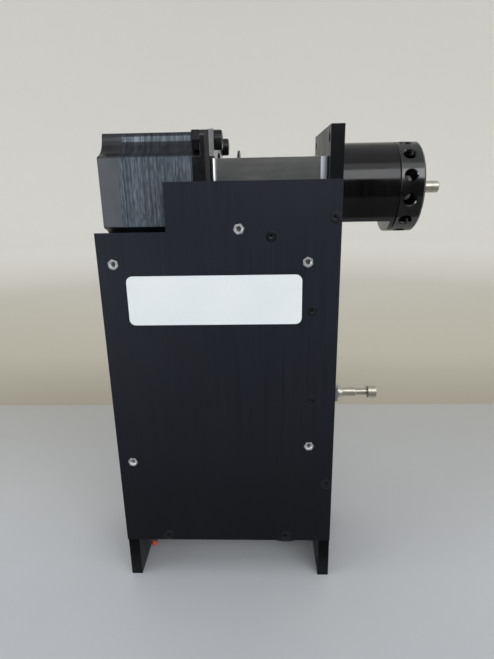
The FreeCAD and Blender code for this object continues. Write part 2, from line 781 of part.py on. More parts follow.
def valve_hole(radius, start, length, y=0, z=0):
    """A hole along X, placed from the valve axis."""
    return rod(radius, length, (start, y, d.valve_z + z), "x")


def make_valve_motor():
    """The valve's stepping motor, from its rear bell to the flange on the bracket."""
    rear = motor_section("rear_bell", d.motor_rear, d.motor_bell, d.motor_bore_r)
    rear_seat = valve_hole(MOTOR_BEARING_R, stack_x - REAR_SEAT_DEEP, REAR_SEAT_DEEP)
    heads = four_screws(
        TIE_SCREW, lambda y, z: valve_hole(d.cap_well_r, d.motor_rear, d.cap_well_deep, y, z))
    finish(cut(rear, rear_seat, *heads), "valve_motor_rear_bell")
    finish(motor_section("stack", stack_x, d.motor_stack, STATOR_BORE_R), "valve_motor_stack")

    neck = motor_section("neck", neck_x, d.motor_neck, d.motor_bore_r)
    flange = new_body("flange")
    sketch = sketch_on(flange, "YZ_Plane", flange_x)
    draw_rounded(sketch, (-d.motor_half, d.motor_half), (-d.motor_half, d.motor_half), d.motor_corner_r)
    draw_circle(sketch, 0, 0, d.motor_bore_r)
    for one, other in CORNERS:
        draw_circle(sketch, one * d.motor_bolt, other * d.motor_bolt, d.m5_r + d.loose)
    pad(flange, sketch, d.motor_flange)
    bind(flange, "Placement.Base.z", d.valve_z)
    pilot = ring(d.motor_bore_r, d.motor_pilot_r, PILOT_LONG, (shim_x, 0, d.valve_z), "x")
    front_seat = valve_hole(MOTOR_BEARING_R, neck_x, MOTOR_BEARING_LONG)
    finish(cut(fuse(neck, flange, pilot), front_seat), "valve_motor_front_bell")

    bearings = [
        ring(MOTOR_SHAFT_R + 0.025, MOTOR_BEARING_R, MOTOR_BEARING_LONG, (start, 0, d.valve_z), "x")
        for start in (stack_x - REAR_SEAT_DEEP, neck_x)
    ]
    finish(group(bearings), "valve_motor_bearings")

    def tie_screw(y, z):
        head = valve_hole(TIE_HEAD_R, d.motor_rear, 3, y, z)
        shank = valve_hole(TIE_SCREW_R - 0.1, d.motor_rear + 3, d.motor_bell + d.motor_stack, y, z)
        return cut(fuse(head, shank), hexagon(d.cap_socket, 1.6, (d.motor_rear, y, d.valve_z + z), "x"))

    finish(group(four_screws(TIE_SCREW, tie_screw)), "valve_motor_tie_screws")


def square_sheet(name, start, thickness, hole_r):
    """A flat square layer between the motor and its bracket."""
    body = new_body(name)
    sketch = sketch_on(body, "YZ_Plane", start)
    draw_rounded(sketch, (-d.motor_half, d.motor_half), (-d.motor_half, d.motor_half), d.motor_corner_r)
    draw_circle(sketch, 0, 0, hole_r)
    for one, other in CORNERS:
        draw_circle(sketch, one * d.motor_bolt, other * d.motor_bolt, d.m5_r + d.loose)
    pad(body, sketch, thickness)
    bind(body, "Placement.Base.z", d.valve_z)
    return body


def make_isolator():
    finish(square_sheet("shim_sheet", shim_x, d.shim, d.motor_pilot_r + d.loose), "motor_shim")
    finish(square_sheet("pad_sheet", pad_x, d.pad_thick, d.motor_pilot_r + d.loose), "motor_isolator_pad")


BRACKET_RELIEF = 1.0
BRACKET_STEP = 4.2
BRACKET_PROUD = 0.225
BRACKET_OPENING_R = 12.5


def make_bracket():
    """A bent sheet bracket: motor flange, side web and the flange on the front panel."""
    body = new_body("bracket_sheet")
    plan = sketch_on(body, "XY_Plane", d.web_low)
    outer_y = -d.motor_half - BRACKET_PROUD
    web_y = outer_y + d.sheet
    far_y = d.motor_half
    front_face = plate_x - d.sheet
    draw_loop(plan, [
        (bracket_x, far_y), (bracket_x, outer_y), (plate_x, outer_y), (plate_x, far_y),
        (front_face, far_y), (front_face, web_y), (bracket_face_x, web_y), (bracket_face_x, far_y),
    ])
    pad(body, plan, d.web_top - d.web_low)
    inner_bend = d.bend_r - d.sheet
    outer_xs = (bracket_x.value, plate_x.value)
    inner_xs = (bracket_face_x.value, front_face.value)
    round_edges(body, d.bend_r, lambda edge: any(stands_at(edge, x, outer_y.value) for x in outer_xs))
    round_edges(body, inner_bend, lambda edge: any(stands_at(edge, x, web_y.value) for x in inner_xs))
    low, high = d.valve_z - d.motor_half, d.valve_z + d.motor_half
    slit_low, slit_high = d.web_low - BRACKET_RELIEF, d.web_top + BRACKET_RELIEF
    step_y = BRACKET_STEP - d.motor_half
    flange = sketch_on(body, "YZ_Plane", bracket_x)
    draw_loop(flange, [
        (-d.motor_half, low), (far_y, low), (far_y, high), (-d.motor_half, high),
        (-d.motor_half, slit_high), (step_y, slit_high), (step_y, slit_low), (-d.motor_half, slit_low),
    ])
    pad(body, flange, d.sheet)
    boss = valve_hole(d.motor_pilot_r + d.loose, bracket_x, d.sheet)
    shaft_hole = valve_hole(BRACKET_OPENING_R, front_face, d.sheet)
    motor_holes = four_screws(
        d.motor_bolt, lambda y, z: valve_hole(d.m5_r + d.loose, bracket_x, d.sheet, y, z))
    mount_holes = four_screws(
        d.mount_screw, lambda y, z: valve_hole(d.m4_r + d.float_gap, front_face, d.sheet, y, z))
    finish(cut(body, boss, shaft_hole, *motor_holes, *mount_holes), "valve_bracket")


def make_motor_screws():
    """Four screws through bracket and motor flange, with a nut in each corner notch."""
    head_long, shank_long, nut_long = 3.8, 10.6, 4.0
    head_r, dome_r, dome_long = 4.6, 3.6, 0.6
    socket_across, socket_deep, nut_across = 4, 2.2, 8

    def screw(y, z):
        middle = d.valve_z + z
        head = rod(head_r, head_long - dome_long, (bracket_face_x, y, middle), "x")
        dome = taper(
            head_r, dome_r, dome_long, (bracket_face_x + (head_long - dome_long), y, middle), "x")
        socket = hexagon(
            socket_across, socket_deep, (bracket_face_x + (head_long - socket_deep), y, middle), "x")
        shank = rod(d.m5_r, shank_long, (bracket_face_x, y, middle), "-x")
        return cut(fuse(head, dome, shank), socket)

    def nut(y, z):
        place = (flange_x - nut_long, y, d.valve_z + z)
        body = hexagon(nut_across, nut_long, place, "x")
        return cut(body, rod(d.m5_r + d.snug, nut_long, place, "x"))

    finish(group(four_screws(d.motor_bolt, screw)), "valve_motor_screws")
    finish(group(four_screws(d.motor_bolt, nut)), "valve_motor_nuts")


def make_valve_rotation():
    """Everything that turns with the valve: motor rotor, encoder disc, coupling, shaft, rotor."""
    axis = (0, 0, d.valve_z)
    gap, core_r = 2.0, STATOR_BORE_R - 0.3
    core_start, core_end = stack_x + gap, neck_x - gap
    finish(turned("motor_rotor", [
        (d.motor_rear + 2, MOTOR_SHAFT_R), (core_start, MOTOR_SHAFT_R), (core_start, core_r),
        (core_end, core_r), (core_end, MOTOR_SHAFT_R), (MOTOR_SHAFT_END, MOTOR_SHAFT_R),
    ], axis), "valve_motor_rotor")

    disc_thick, hub_long, hub_r = 1, 3.2, 6
    mark_r, mark_circle = 1.0, 17.4
    hub_x = d.disc_x + (disc_thick - hub_long)
    disc = rod(d.disc_r, disc_thick, (d.disc_x, 0, d.valve_z), "x")
    hub = rod(hub_r, hub_long, (hub_x, 0, d.valve_z), "x")
    marks = [
        valve_hole(mark_r, d.disc_x, disc_thick, mark_circle * math.sin(angle), mark_circle * math.cos(angle))
        for angle in [math.tau * step / PORTS for step in range(PORTS)]
    ]
    shaft_hole = valve_hole(MOTOR_SHAFT_R, hub_x, hub_long)
    finish(cut(fuse(disc, hub), shaft_hole, *marks), "encoder_disc")

    coupling_x, coupling_long, coupling_r = -16.5, 20.0, 9
    groove_floor, groove_wide = 6.2, 0.8
    halfway = coupling_x + coupling_long / 2
    body = rod(coupling_r, coupling_long, (coupling_x, 0, d.valve_z), "x")
    motor_side = valve_hole(MOTOR_SHAFT_R, coupling_x, halfway - coupling_x)
    valve_side = valve_hole(d.valve_shaft_r, halfway, coupling_long / 2)
    grooves = [
        ring(groove_floor, coupling_r + 0.1, groove_wide, (halfway + place, 0, d.valve_z), "x")
        for place in (-2.6, -0.4, 1.8)
    ]
    finish(cut(body, motor_side, valve_side, *grooves), "shaft_coupling")

    ring_front = front_x + d.valve_body_long + d.lip + d.ring_long
    tip = ring_front + d.shaft_out
    ring_groove, groove_wide, groove_r = ring_front + 0.2, 0.6, d.valve_shaft_r - 0.3
    tip_ease = 0.6
    finish(turned("valve_shaft", [
        (MOTOR_SHAFT_END + 1, d.valve_shaft_r), (ring_groove, d.valve_shaft_r), (ring_groove, groove_r),
        (ring_groove + groove_wide, groove_r), (ring_groove + groove_wide, d.valve_shaft_r),
        (tip - tip_ease, d.valve_shaft_r), (tip, d.valve_shaft_r - tip_ease),
    ], axis), "valve_shaft")

    rotor_start = front_x + 13.25
    rotor_end = ring_front - 4.25
    port_x = ring_front - d.ring_long + d.ring_port_x
    rotor = ring(d.valve_shaft_r, d.rotor_r, rotor_end - rotor_start, (rotor_start, 0, d.valve_z), "x")
    collector = ring(
        d.rotor_r - 1.5, d.rotor_r + 1, 1.5, (d.syringe_port_x - 0.75, 0, d.valve_z), "x")
    groove_y = -(d.rotor_r - 0.2) * math.cos(math.radians(15))
    groove_z = (d.rotor_r - 0.2) * math.sin(math.radians(15))
    groove = rod(
        d.channel_r, port_x - d.syringe_port_x + 0.75,
        (d.syringe_port_x, groove_y, d.valve_z + groove_z), "x")
    finish(cut(rotor, collector, groove), "valve_rotor")


# ---------------------------------------------------------------- valve

PORTS = 12
PORT_ANGLES = [15 + 360 / PORTS * step for step in range(PORTS)]
RING_SCREW_RADIUS = 19.0
RING_SCREW_ANGLES = (90, 210, 330)
SEAM = 0.4


def radial(item, angle, x):
    """Turn a tool that was drawn up the Z axis round the valve axis, at a place along X."""
    item.Placement = FreeCAD.Placement(Vector(), Rotation(Vector(1, 0, 0), angle - 90))
    bind(item, "Placement.Base.x", x)
    bind(item, "Placement.Base.z", d.valve_z)
    return item


def port_tools(angle, x):
    """Thread, mouth and fluid channel of one radial port."""
    thread_floor = d.valve_r - d.port_deep
    mouth_deep = d.port_mouth_r - d.port_r
    body = new_body("port_tool")
    sketch = sketch_on(body, "XZ_Plane")
    draw_loop(sketch, [
        (0, d.rotor_bore_r - 1), (d.channel_r, d.rotor_bore_r - 1), (d.channel_r, thread_floor),
        (d.port_r, thread_floor), (d.port_r, d.valve_r - mouth_deep),
        (d.port_mouth_r, d.valve_r), (d.port_mouth_r, d.valve_r + 1), (0, d.valve_r + 1),
    ])
    feature = body.newObject("PartDesign::Revolution", "revolution")
    feature.Profile = sketch
    feature.ReferenceAxis = (sketch, ["V_Axis"])
    feature.Angle = 360
    return radial(body, angle, x)


def ring_screw_place(angle):
    across = RING_SCREW_RADIUS * math.cos(math.radians(angle))
    up = RING_SCREW_RADIUS * math.sin(math.radians(angle))
    return -across, up


def make_valve():
    """The valve: a flat-bottomed body, the port ring on its front and the shaft bearing."""
    axis = (0, 0, d.valve_z)
    lip_x = front_x + d.valve_body_long
    ring_x = lip_x + d.lip
    ring_front = ring_x + d.ring_long
    body = turned("valve_body_blank", [
        (front_x, d.valve_r), (ring_x - SEAM, d.valve_r), (ring_x, d.valve_r - SEAM),
    ], axis)
    below = block(
        (front_x - 1, lip_x), (-d.valve_r - 1, d.valve_r + 1),
        (d.valve_z - d.valve_r - 1, d.valve_z - d.valve_flat))
    bearing_seat = valve_hole(9.5, front_x, 6.5)
    shaft_hole = valve_hole(d.valve_shaft_r + 0.3, front_x, 14)
    rotor_bore = valve_hole(d.rotor_bore_r, front_x + 13, ring_x - front_x - 13)
    mount_holes = four_screws(
        d.mount_screw, lambda y, z: valve_hole(d.m4_r + d.snug, front_x, 11, y, z))
    ring_holes = [
        valve_hole(d.m3_r + d.snug, ring_x - 14, 14, *ring_screw_place(angle))
        for angle in RING_SCREW_ANGLES
    ]
    flat_z = d.valve_z - d.valve_flat
    thread = rod(d.port_r, 7, (d.syringe_port_x, 0, flat_z))
    mouth = taper(d.port_mouth_r, d.port_r, d.port_mouth_r - d.port_r, (d.syringe_port_x, 0, flat_z))
    channel = rod(d.channel_r, 3, (d.syringe_port_x, 0, flat_z + 6.5))
    finish(cut(
        body, below, bearing_seat, shaft_hole, rotor_bore, *mount_holes, *ring_holes,
        thread, mouth, channel), "valve_body")

    blank = turned("ring_blank", [
        (ring_x, d.valve_r - SEAM), (ring_x + SEAM, d.valve_r),
        (ring_front - 1, d.valve_r), (ring_front, d.valve_r - 1),
    ], axis)
    bore = valve_hole(d.rotor_bore_r, ring_x, d.ring_long - 4)
    exit_hole = valve_hole(d.valve_shaft_r + 0.05, ring_x, d.ring_long)
    ports = [port_tools(angle, ring_x + d.ring_port_x) for angle in PORT_ANGLES]
    clearances, heads = [], []
    for angle in RING_SCREW_ANGLES:
        y, z = ring_screw_place(angle)
        clearances.append(valve_hole(d.m3_r + d.loose, ring_x, d.ring_long, y, z))
        heads.append(valve_hole(d.cap_well_r, ring_front - d.cap_well_deep, d.cap_well_deep, y, z))
    finish(cut(blank, bore, exit_hole, *ports, *clearances, *heads), "port_ring")

    screws = []
    for angle in RING_SCREW_ANGLES:
        y, z = ring_screw_place(angle)
        seat, head_long, shank_long, socket_deep = ring_front - d.cap_well_deep, 3, 20, 1.5
        head = valve_hole(d.cap_head_r, seat, head_long, y, z)
        shank = valve_hole(d.m3_r, seat - shank_long, shank_long, y, z)
        socket = hexagon(
            d.cap_socket, socket_deep, (seat + (head_long - socket_deep), y, d.valve_z + z), "x")
        screws.append(cut(fuse(head, shank), socket))

    bearing = ring(d.valve_shaft_r + d.running, 9.5, 6, (front_x + 0.5, 0, d.valve_z), "x")
    finish(bearing, "valve_bearing")

    def mount_screw(y, z):
        seat = plate_x - d.sheet
        head = rod(3.5, 4, (seat, y, d.valve_z + z), "-x")
        shank = valve_hole(d.m4_r, seat, 19, y, z)
        socket = hexagon(3, 2.2, (seat - 4, y, d.valve_z + z), "x")
        return cut(fuse(head, shank), socket)

    screws.extend(four_screws(d.mount_screw, mount_screw))
    finish(group(screws), "valve_screws")


# ---------------------------------------------------------------- plunger stage

SHAFT_FOOT = 8.2
SCREW_TOP = 175.5


def make_lead_screw():
    """The lead screw between its two bearings, and the guide rods beside it."""
    thread_low, thread_high = base_top + 0.5, d.bearing_bar_low - 0.5
    finish(turned("lead_screw_blank", [
        (SHAFT_FOOT, d.foot_r), (thread_low, d.foot_r), (thread_low, d.screw_r),
        (thread_high, d.screw_r), (thread_high, d.head_r), (SCREW_TOP, d.head_r),
    ], (d.screw_x, 0, 0), about="z"), "lead_screw")
    lower = ring(
        d.foot_r + d.running, d.lower_seat_r, d.lower_seat_long, (d.screw_x, 0, d.cover_low))
    upper = ring(
        d.head_r + d.running, d.upper_seat_r, d.upper_seat_long, (d.screw_x, 0, d.bearing_bar_low))
    finish(group([lower, upper]), "lead_screw_bearings")
    rod_long = d.bearing_bar_low + d.bearing_bar_tall - d.cover_low
    rods = [rod(d.rod_r, rod_long, (d.screw_x, side * d.rod_y, d.cover_low)) for side in SIGNS]
    finish(group(rods), "guide_rods")


NUT_BARREL_R = 6.0
NUT_DEEP = 21.5
NUT_SCREW_Y = 7.7
STUD_THREAD = 10.0


def make_carriage():
    """The carriage: a block on two rods with an arm out through the panel slot."""
    arm_tip = front_x + d.arm_out
    block_shape = block(
        (d.carriage_rear, d.carriage_front), (-d.nose_half, d.nose_half),
        (d.carriage_low, carriage_top))
    arm = block(
        (d.carriage_front - 1, arm_tip), (-d.arm_half, d.arm_half),
        (d.pin_z - d.arm_half, d.pin_z + d.arm_half))
    screw_hole = rod(4.8, d.carriage_tall, (d.screw_x, 0, d.carriage_low))
    nut_hole = rod(NUT_BARREL_R + d.snug, NUT_DEEP, (d.screw_x, 0, carriage_top - NUT_DEEP))
    rod_holes = [
        rod(d.bush_r, d.carriage_tall, (d.screw_x, side * d.rod_y, d.carriage_low)) for side in SIGNS
    ]
    nut_threads = [
        rod(1.27, 8.5, (d.screw_x, side * NUT_SCREW_Y, carriage_top - 8.5)) for side in SIGNS
    ]
    flag_thread = rod(1.27, 6, (d.carriage_rear, 11, 132), "x")
    stud_thread = rod(d.m4_r + d.snug, STUD_THREAD + 0.5, (arm_tip, 0, d.pin_z), "-x")
    finish(cut(
        fuse(block_shape, arm), screw_hole, nut_hole, *rod_holes, *nut_threads,
        flag_thread, stud_thread), "carriage")

    flange_tall = 3.0
    flats = block(
        (d.screw_x - 5.75, d.screw_x + 5.75), (-12, 12), (carriage_top, carriage_top + flange_tall))
    disc = rod(10.6, flange_tall, (d.screw_x, 0, carriage_top))
    flange = doc.addObject("Part::MultiCommon", "nut_flange")
    flange.Shapes = [disc, flats]
    barrel = rod(NUT_BARREL_R - 0.25, NUT_DEEP - 0.5, (d.screw_x, 0, carriage_top - NUT_DEEP + 0.5))
    bore = rod(d.screw_r + 0.05, NUT_DEEP + flange_tall, (d.screw_x, 0, carriage_top - NUT_DEEP))
    passes = [
        rod(1.35, flange_tall, (d.screw_x, side * NUT_SCREW_Y, carriage_top)) for side in SIGNS
    ]
    finish(cut(fuse(flange, barrel), bore, *passes), "lead_nut")

    bushes = [
        ring(d.rod_r + d.running, d.bush_r, d.bush_long, (d.screw_x, side * d.rod_y, low))
        for side in SIGNS for low in (d.carriage_low, carriage_top - d.bush_long)
    ]
    finish(group(bushes), "carriage_bushes")

    flag_x = d.carriage_rear - 1
    plate = block((flag_x, d.carriage_rear), (9, 13), (128, 153))
    finish(cut(plate, rod(1.35, 1, (flag_x, 11, 132), "x")), "home_flag")
    screws = []
    for side in SIGNS:
        seat = (d.screw_x, side * NUT_SCREW_Y, carriage_top + flange_tall)
        head = rod(2.0, 1.8, seat)
        screws.append(fuse(head, rod(1.25, 11, seat, "-z")))
    flag_seat = (flag_x, 11, 132)
    screws.append(fuse(rod(1.9, 1.8, flag_seat, "-x"), rod(1.25, 6, flag_seat, "x")))
    finish(group(screws), "carriage_screws")

    finish(turned("stud_blank", [
        (arm_tip - STUD_THREAD, d.m4_r), (arm_tip, d.m4_r), (arm_tip, 4.3), (arm_tip + 0.6, 4.3),
        (arm_tip + 3.6, 2.85), (arm_tip + 10.8, 2.85), (arm_tip + 11.1, 2.15),
        (arm_tip + 17.1, 2.15), (arm_tip + 17.1, 1.8), (arm_tip + 18.0, 1.8), (arm_tip + 18.0, 3.5),
        (arm_tip + 18.3, 3.8), (arm_tip + 23.1, 3.8), (arm_tip + 23.5, 3.4),
    ], (0, 0, d.pin_z)), "plunger_stud")


def make_home_sensor():
    """A slotted light barrier under the bearing bar: the flag enters it at the top of the stroke."""
    low = d.bearing_bar_low - 10.85
    body = block((d.nose_x, 0), (8, 14), (low, d.bearing_bar_low))
    slot = block((-6.85, -3.85), (7, 15), (low - 1, low + 7.2))
    finish(cut(body, slot), "home_sensor")


# ---------------------------------------------------------------- belt drive

DRIVEN_TEETH, DRIVE_TEETH = 36, 18
CHAMFER = 4.5


def octagon_section(name, low, tall, bore):
    """One length of the drive motor: a square with chamfered corners, bored for its rotor."""
    body = new_body(name)
    sketch = sketch_on(body, "XY_Plane", low)
    half = d.drive_half
    reach = half - CHAMFER
    draw_loop(sketch, [
        (half, -reach), (half, reach), (reach, half), (-reach, half),
        (-half, reach), (-half, -reach), (-reach, -half), (reach, -half),
    ])
    draw_circle(sketch, 0, 0, bore)
    pad(body, sketch, tall)
    bind(body, "Placement.Base.x", d.drive_x)
    return body


def make_drive_motor():
    """The drive motor stands on the base plate, with its shaft pointing down."""
    front, rear = 8.0, 10.0
    shaft_gap = d.drive_shaft_r + d.running
    stack_tall = d.drive_tall - front - rear
    lower = octagon_section("drive_front", base_top, front, shaft_gap)
    pilot = ring(shaft_gap, d.drive_pilot_r, 2, (d.drive_x, 0, base_top), "-z")
    threads = [
        rod(d.m3_r + d.snug, 5, (d.drive_x + one * d.drive_bolt, other * d.drive_bolt, base_top))
        for one, other in CORNERS
    ]
    front_bell = cut(fuse(lower, pilot), *threads)
    finish(octagon_section("drive_stack", base_top + front, stack_tall, 11.5), "drive_motor_stack")
    rear_bell = octagon_section("drive_rear", base_top + (front + stack_tall), rear, shaft_gap)
    finish(group([front_bell, rear_bell]), "drive_motor_bells")
    core_low, core_high = base_top + 9.5, base_top + 36.5
    finish(turned("drive_rotor_blank", [
        (SHAFT_FOOT, d.drive_shaft_r), (core_low, d.drive_shaft_r), (core_low, 11.2), (core_high, 11.2),
        (core_high, d.drive_shaft_r), (base_top + 45, d.drive_shaft_r),
    ], (d.drive_x, 0, 0), about="z"), "drive_motor_rotor")
    screws = []
    for one, other in CORNERS:
        seat = (d.drive_x + one * d.drive_bolt, other * d.drive_bolt, d.cover_low)
        head = rod(2.75, 2.8, seat, "-z")
        shank = rod(d.m3_r, 11, seat)
        socket = hexagon(2.5, 1.5, (seat[0], seat[1], d.cover_low - 2.8))
        screws.append(cut(fuse(head, shank), socket))
    finish(group(screws), "drive_motor_screws")


def toothed_wheel(name, x, belt_r, shaft_r, teeth, hub_r):
    """A flanged timing pulley with round-bottomed tooth gaps and a hub below it."""
    tooth_r = belt_r - d.belt_gap
    flange_r = belt_r + d.belt_thick
    high = d.pulley_low + d.pulley_tall
    blank = turned(name, [
        (d.pulley_low - d.hub_drop, hub_r), (d.pulley_low, hub_r), (d.pulley_low, flange_r),
        (d.pulley_low + d.pulley_flange, flange_r), (d.pulley_low + d.pulley_flange, tooth_r),
        (high - d.pulley_flange, tooth_r), (high - d.pulley_flange, flange_r), (high, flange_r),
    ], (x, 0, 0), about="z")
    gap_low = d.pulley_low + d.pulley_flange
    gaps = []
    for tooth in range(teeth):
        angle = 2 * math.pi * tooth / teeth
        place = (x + tooth_r * math.cos(angle), tooth_r * math.sin(angle), gap_low)
        gaps.append(rod(d.tooth_gap_r, d.pulley_tall - 2 * d.pulley_flange, place))
    bore = rod(shaft_r, d.pulley_tall + d.hub_drop + 1, (x, 0, d.pulley_low - d.hub_drop))
    return cut(blank, bore, *gaps)


def belt_loop(sketch, big_r, small_r):
    """Two arcs joined by their outer tangents, about the two pulley axes."""
    span = (d.screw_x - d.drive_x).value
    lean = math.asin((big_r.value - small_r.value) / span)
    up = Vector(-math.sin(lean), math.cos(lean), 0)
    down = Vector(-math.sin(lean), -math.cos(lean), 0)
    big, small = Vector(d.screw_x.value, 0, 0), Vector(d.drive_x.value, 0, 0)
    quarter = math.pi / 2
    arc = Part.ArcOfCircle
    normal = Vector(0, 0, 1)
    big_arc = sketch.addGeometry(
        arc(Part.Circle(big, normal, big_r.value), -quarter - lean, quarter + lean))
    small_arc = sketch.addGeometry(
        arc(Part.Circle(small, normal, small_r.value), quarter + lean, 3 * quarter - lean))
    top = sketch.addGeometry(Part.LineSegment(big + up * big_r.value, small + up * small_r.value))
    bottom = sketch.addGeometry(
        Part.LineSegment(small + down * small_r.value, big + down * big_r.value))
    for first, first_end, second, second_end in (
            (big_arc, 2, top, 1), (top, 2, small_arc, 1),
            (small_arc, 2, bottom, 1), (bottom, 2, big_arc, 1)):
        sketch.addConstraint(Sketcher.Constraint("Tangent", first, first_end, second, second_end))
    for edge, place, radius in ((big_arc, d.screw_x, big_r), (small_arc, d.drive_x, small_r)):
        fix_point(sketch, edge, 3, (place, 0))
        index = sketch.addConstraint(Sketcher.Constraint("Radius", edge, radius.value))
        sketch.setExpression(f"Constraints[{index}]", radius.text)


def make_belt_drive():
    driven = toothed_wheel("driven_wheel", d.screw_x, d.big_belt_r, d.foot_r, DRIVEN_TEETH, 9)
    finish(driven, "driven_pulley")
    driver = toothed_wheel("drive_wheel", d.drive_x, d.small_belt_r, d.drive_shaft_r, DRIVE_TEETH, 6)
    finish(driver, "drive_pulley")
    body = new_body("belt_band")
    sketch = sketch_on(body, "XY_Plane", d.belt_low)
    belt_loop(sketch, d.big_belt_r, d.small_belt_r)
    belt_loop(sketch, d.big_belt_r + d.belt_thick, d.small_belt_r + d.belt_thick)
    pad(body, sketch, d.belt_wide)
    finish(body, "timing_belt")


# ---------------------------------------------------------------- electronics

LAMP_X, LAMP_Y = -73.85, -27.4
LAMP_R = 1.6
LAMP_STEM_R = 2.5


def board_screw(x, z):
    """A pan-head screw from the board into its stand-off."""
    head = rod(2.75, 2, (x, board_face_y, z), "y")
    shank = rod(d.standoff_hole_r - d.snug, 7.5, (x, board_face_y, z), "-y")
    cross = block(
        (x - 1.6, x + 1.6), (board_face_y + 1.2, board_face_y + 2.5), (z - 0.35, z + 0.35))
    return cut(fuse(head, shank), cross)


def make_boards():
    """The controller board on four stand-offs and the small encoder board on the fifth."""
    body = new_body("controller_sheet")
    sketch = sketch_on(body, "XZ_Plane", -board_face_y)
    rear, front = -84.85, 12.15
    low, high = 76, 195.2
    draw_loop(sketch, [
        (rear, low), (front, low), (front, 84), (22.65, 84), (22.65, 95), (front, 95),
        (front, 183), (20.65, 183), (20.65, high), (rear, high),
    ])
    for x, z in BOARD_STANDOFFS:
        draw_circle(sketch, x, z, d.board_hole_r)
    pad(body, sketch, d.board_thick)
    finish(body, "controller_board")

    small = new_body("encoder_sheet")
    sketch = sketch_on(small, "XZ_Plane", -board_face_y)
    draw_rectangle(sketch, (-24, -12.5), (203.5, 227))
    draw_circle(sketch, SENSOR_STANDOFF[0], SENSOR_STANDOFF[1], d.board_hole_r)
    pad(small, sketch, d.board_thick)
    finish(small, "encoder_board")
    barrier = block((-22.85, -12.85), (board_face_y, -12.5), (213, 225))
    slot = block((-19.35, -16.35), (-21, -12), (212, 226))
    finish(cut(barrier, slot), "encoder_sensor")
    finish(group([board_screw(x, z) for x, z in STANDOFFS]), "board_screws")


def component(x_range, height, z_range):
    """A rectangular component on the board's inner face."""
    return block(x_range, (board_face_y, board_face_y + height), z_range)


def make_components():
    """Connector, capacitors, chips, headers and the driver heat sink on the board."""
    flange = component((-79.2, -78.4), 12.5, (108, 147))
    insulator = component((-78.4, -71.4), 12.5, (112, 143))
    shell = block((-85, -79.2), (board_face_y + 1.8, board_face_y + 10.7), (116, 139))
    cavity = block((-85, -80.4), (board_face_y + 2.4, board_face_y + 10.1), (116.6, 138.4))
    finish(cut(fuse(flange, insulator, shell), cavity), "data_connector")

    cans = []
    for x, z, radius, length in ((-62, 180, 6.3, 16), (-46, 180, 6.3, 16), (-33, 183, 4, 11)):
        cans.append(rod(radius, length, (x, board_face_y, z), "y"))
    finish(group(cans), "board_capacitors")

    chips = [
        component((-66, -29), 4.5, (148, 161.5)),
        component((-66, -49), 3.8, (121, 138)),
        component((-40, -20), 4, (132, 138.5)),
        component((-40, -20), 4, (121, 127.5)),
        component((-20, -10), 1.8, (98, 102)),
        component((-20, -10), 1.8, (108, 112)),
        component((-14, -4), 1.8, (148, 158)),
    ]
    finish(group(chips), "board_chips")

    headers = []
    for x_low, x_high, z_low, z_high in (
            (-24, -4, 186, 192), (-26, -14, 172, 178), (-80, -74, 92, 104), (-66, -54, 84, 88)):
        headers.append(component((x_low, x_high), 7, (z_low, z_high)))
    finish(group(headers), "board_headers")

    sink = component((-58, -28), 3, (92, 114))
    fins = [component((x, x + 1.6), 13, (92, 114)) for x in (-58, -52.32, -46.64, -40.96, -35.28, -29.6)]
    finish(fuse(sink, *fins), "driver_heat_sink")


def make_lamp():
    """A small red lamp in a grey holder under the base plate, behind the near cover."""
    holder_low = 21.0
    holder = block((LAMP_X - 3.4, LAMP_X + 2.6), (LAMP_Y - 2.5, LAMP_Y + 2.5), (holder_low, d.cover_low))
    stem = rod(LAMP_STEM_R, d.plate, (LAMP_X, LAMP_Y, d.cover_low))
    hole = rod(LAMP_R, d.cover_low - holder_low + 3, (LAMP_X, LAMP_Y, holder_low))
    finish(cut(fuse(holder, stem), hole), "lamp_holder")
    lens = turned("lamp_blank", [
        (16.2, 0.8), (16.7, 1.35), (17.6, LAMP_R), (29, LAMP_R),
    ], (LAMP_X, LAMP_Y, 0), about="z")
    finish(lens, "status_lamp")


# ---------------------------------------------------------------- build and write

make_covers()
make_label()
make_standoffs()
finish(group(make_front_panel() + make_rear()), "frame_screws")
make_base_plate()
make_bars()
make_valve_motor()
make_isolator()
make_bracket()
make_motor_screws()
make_valve_rotation()
make_valve()
make_lead_screw()
make_carriage()
make_home_sensor()
make_drive_motor()
make_belt_drive()
make_boards()
make_components()
make_lamp()
doc.recompute()

failed = [item.Name for item in doc.Objects if "Invalid" in item.State or "Error" in item.State]
if failed:
    raise RuntimeError(f"features failed: {failed}")
for item in finished:
    if item.Shape.isNull() or not item.Shape.isValid() or not item.Shape.Solids:
        raise RuntimeError(f"{item.Label} has no valid solid")

os.makedirs("parts", exist_ok=True)
for item in finished:
    item.Shape.exportStep(os.path.join("parts", f"{item.Label}.step"))
    print(f"{item.Label}: {len(item.Shape.Solids)} solids, {item.Shape.Volume:.0f} mm3")
print(len(finished), "nodes")
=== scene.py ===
"""The looks of a syringe drive module: a black case, a rotary valve with its motor, a plunger stage.

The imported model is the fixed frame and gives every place. This script adds finishes and fine detail.
"""

import json
import math
import random

import bmesh
import bpy
from mathutils import Matrix, Vector

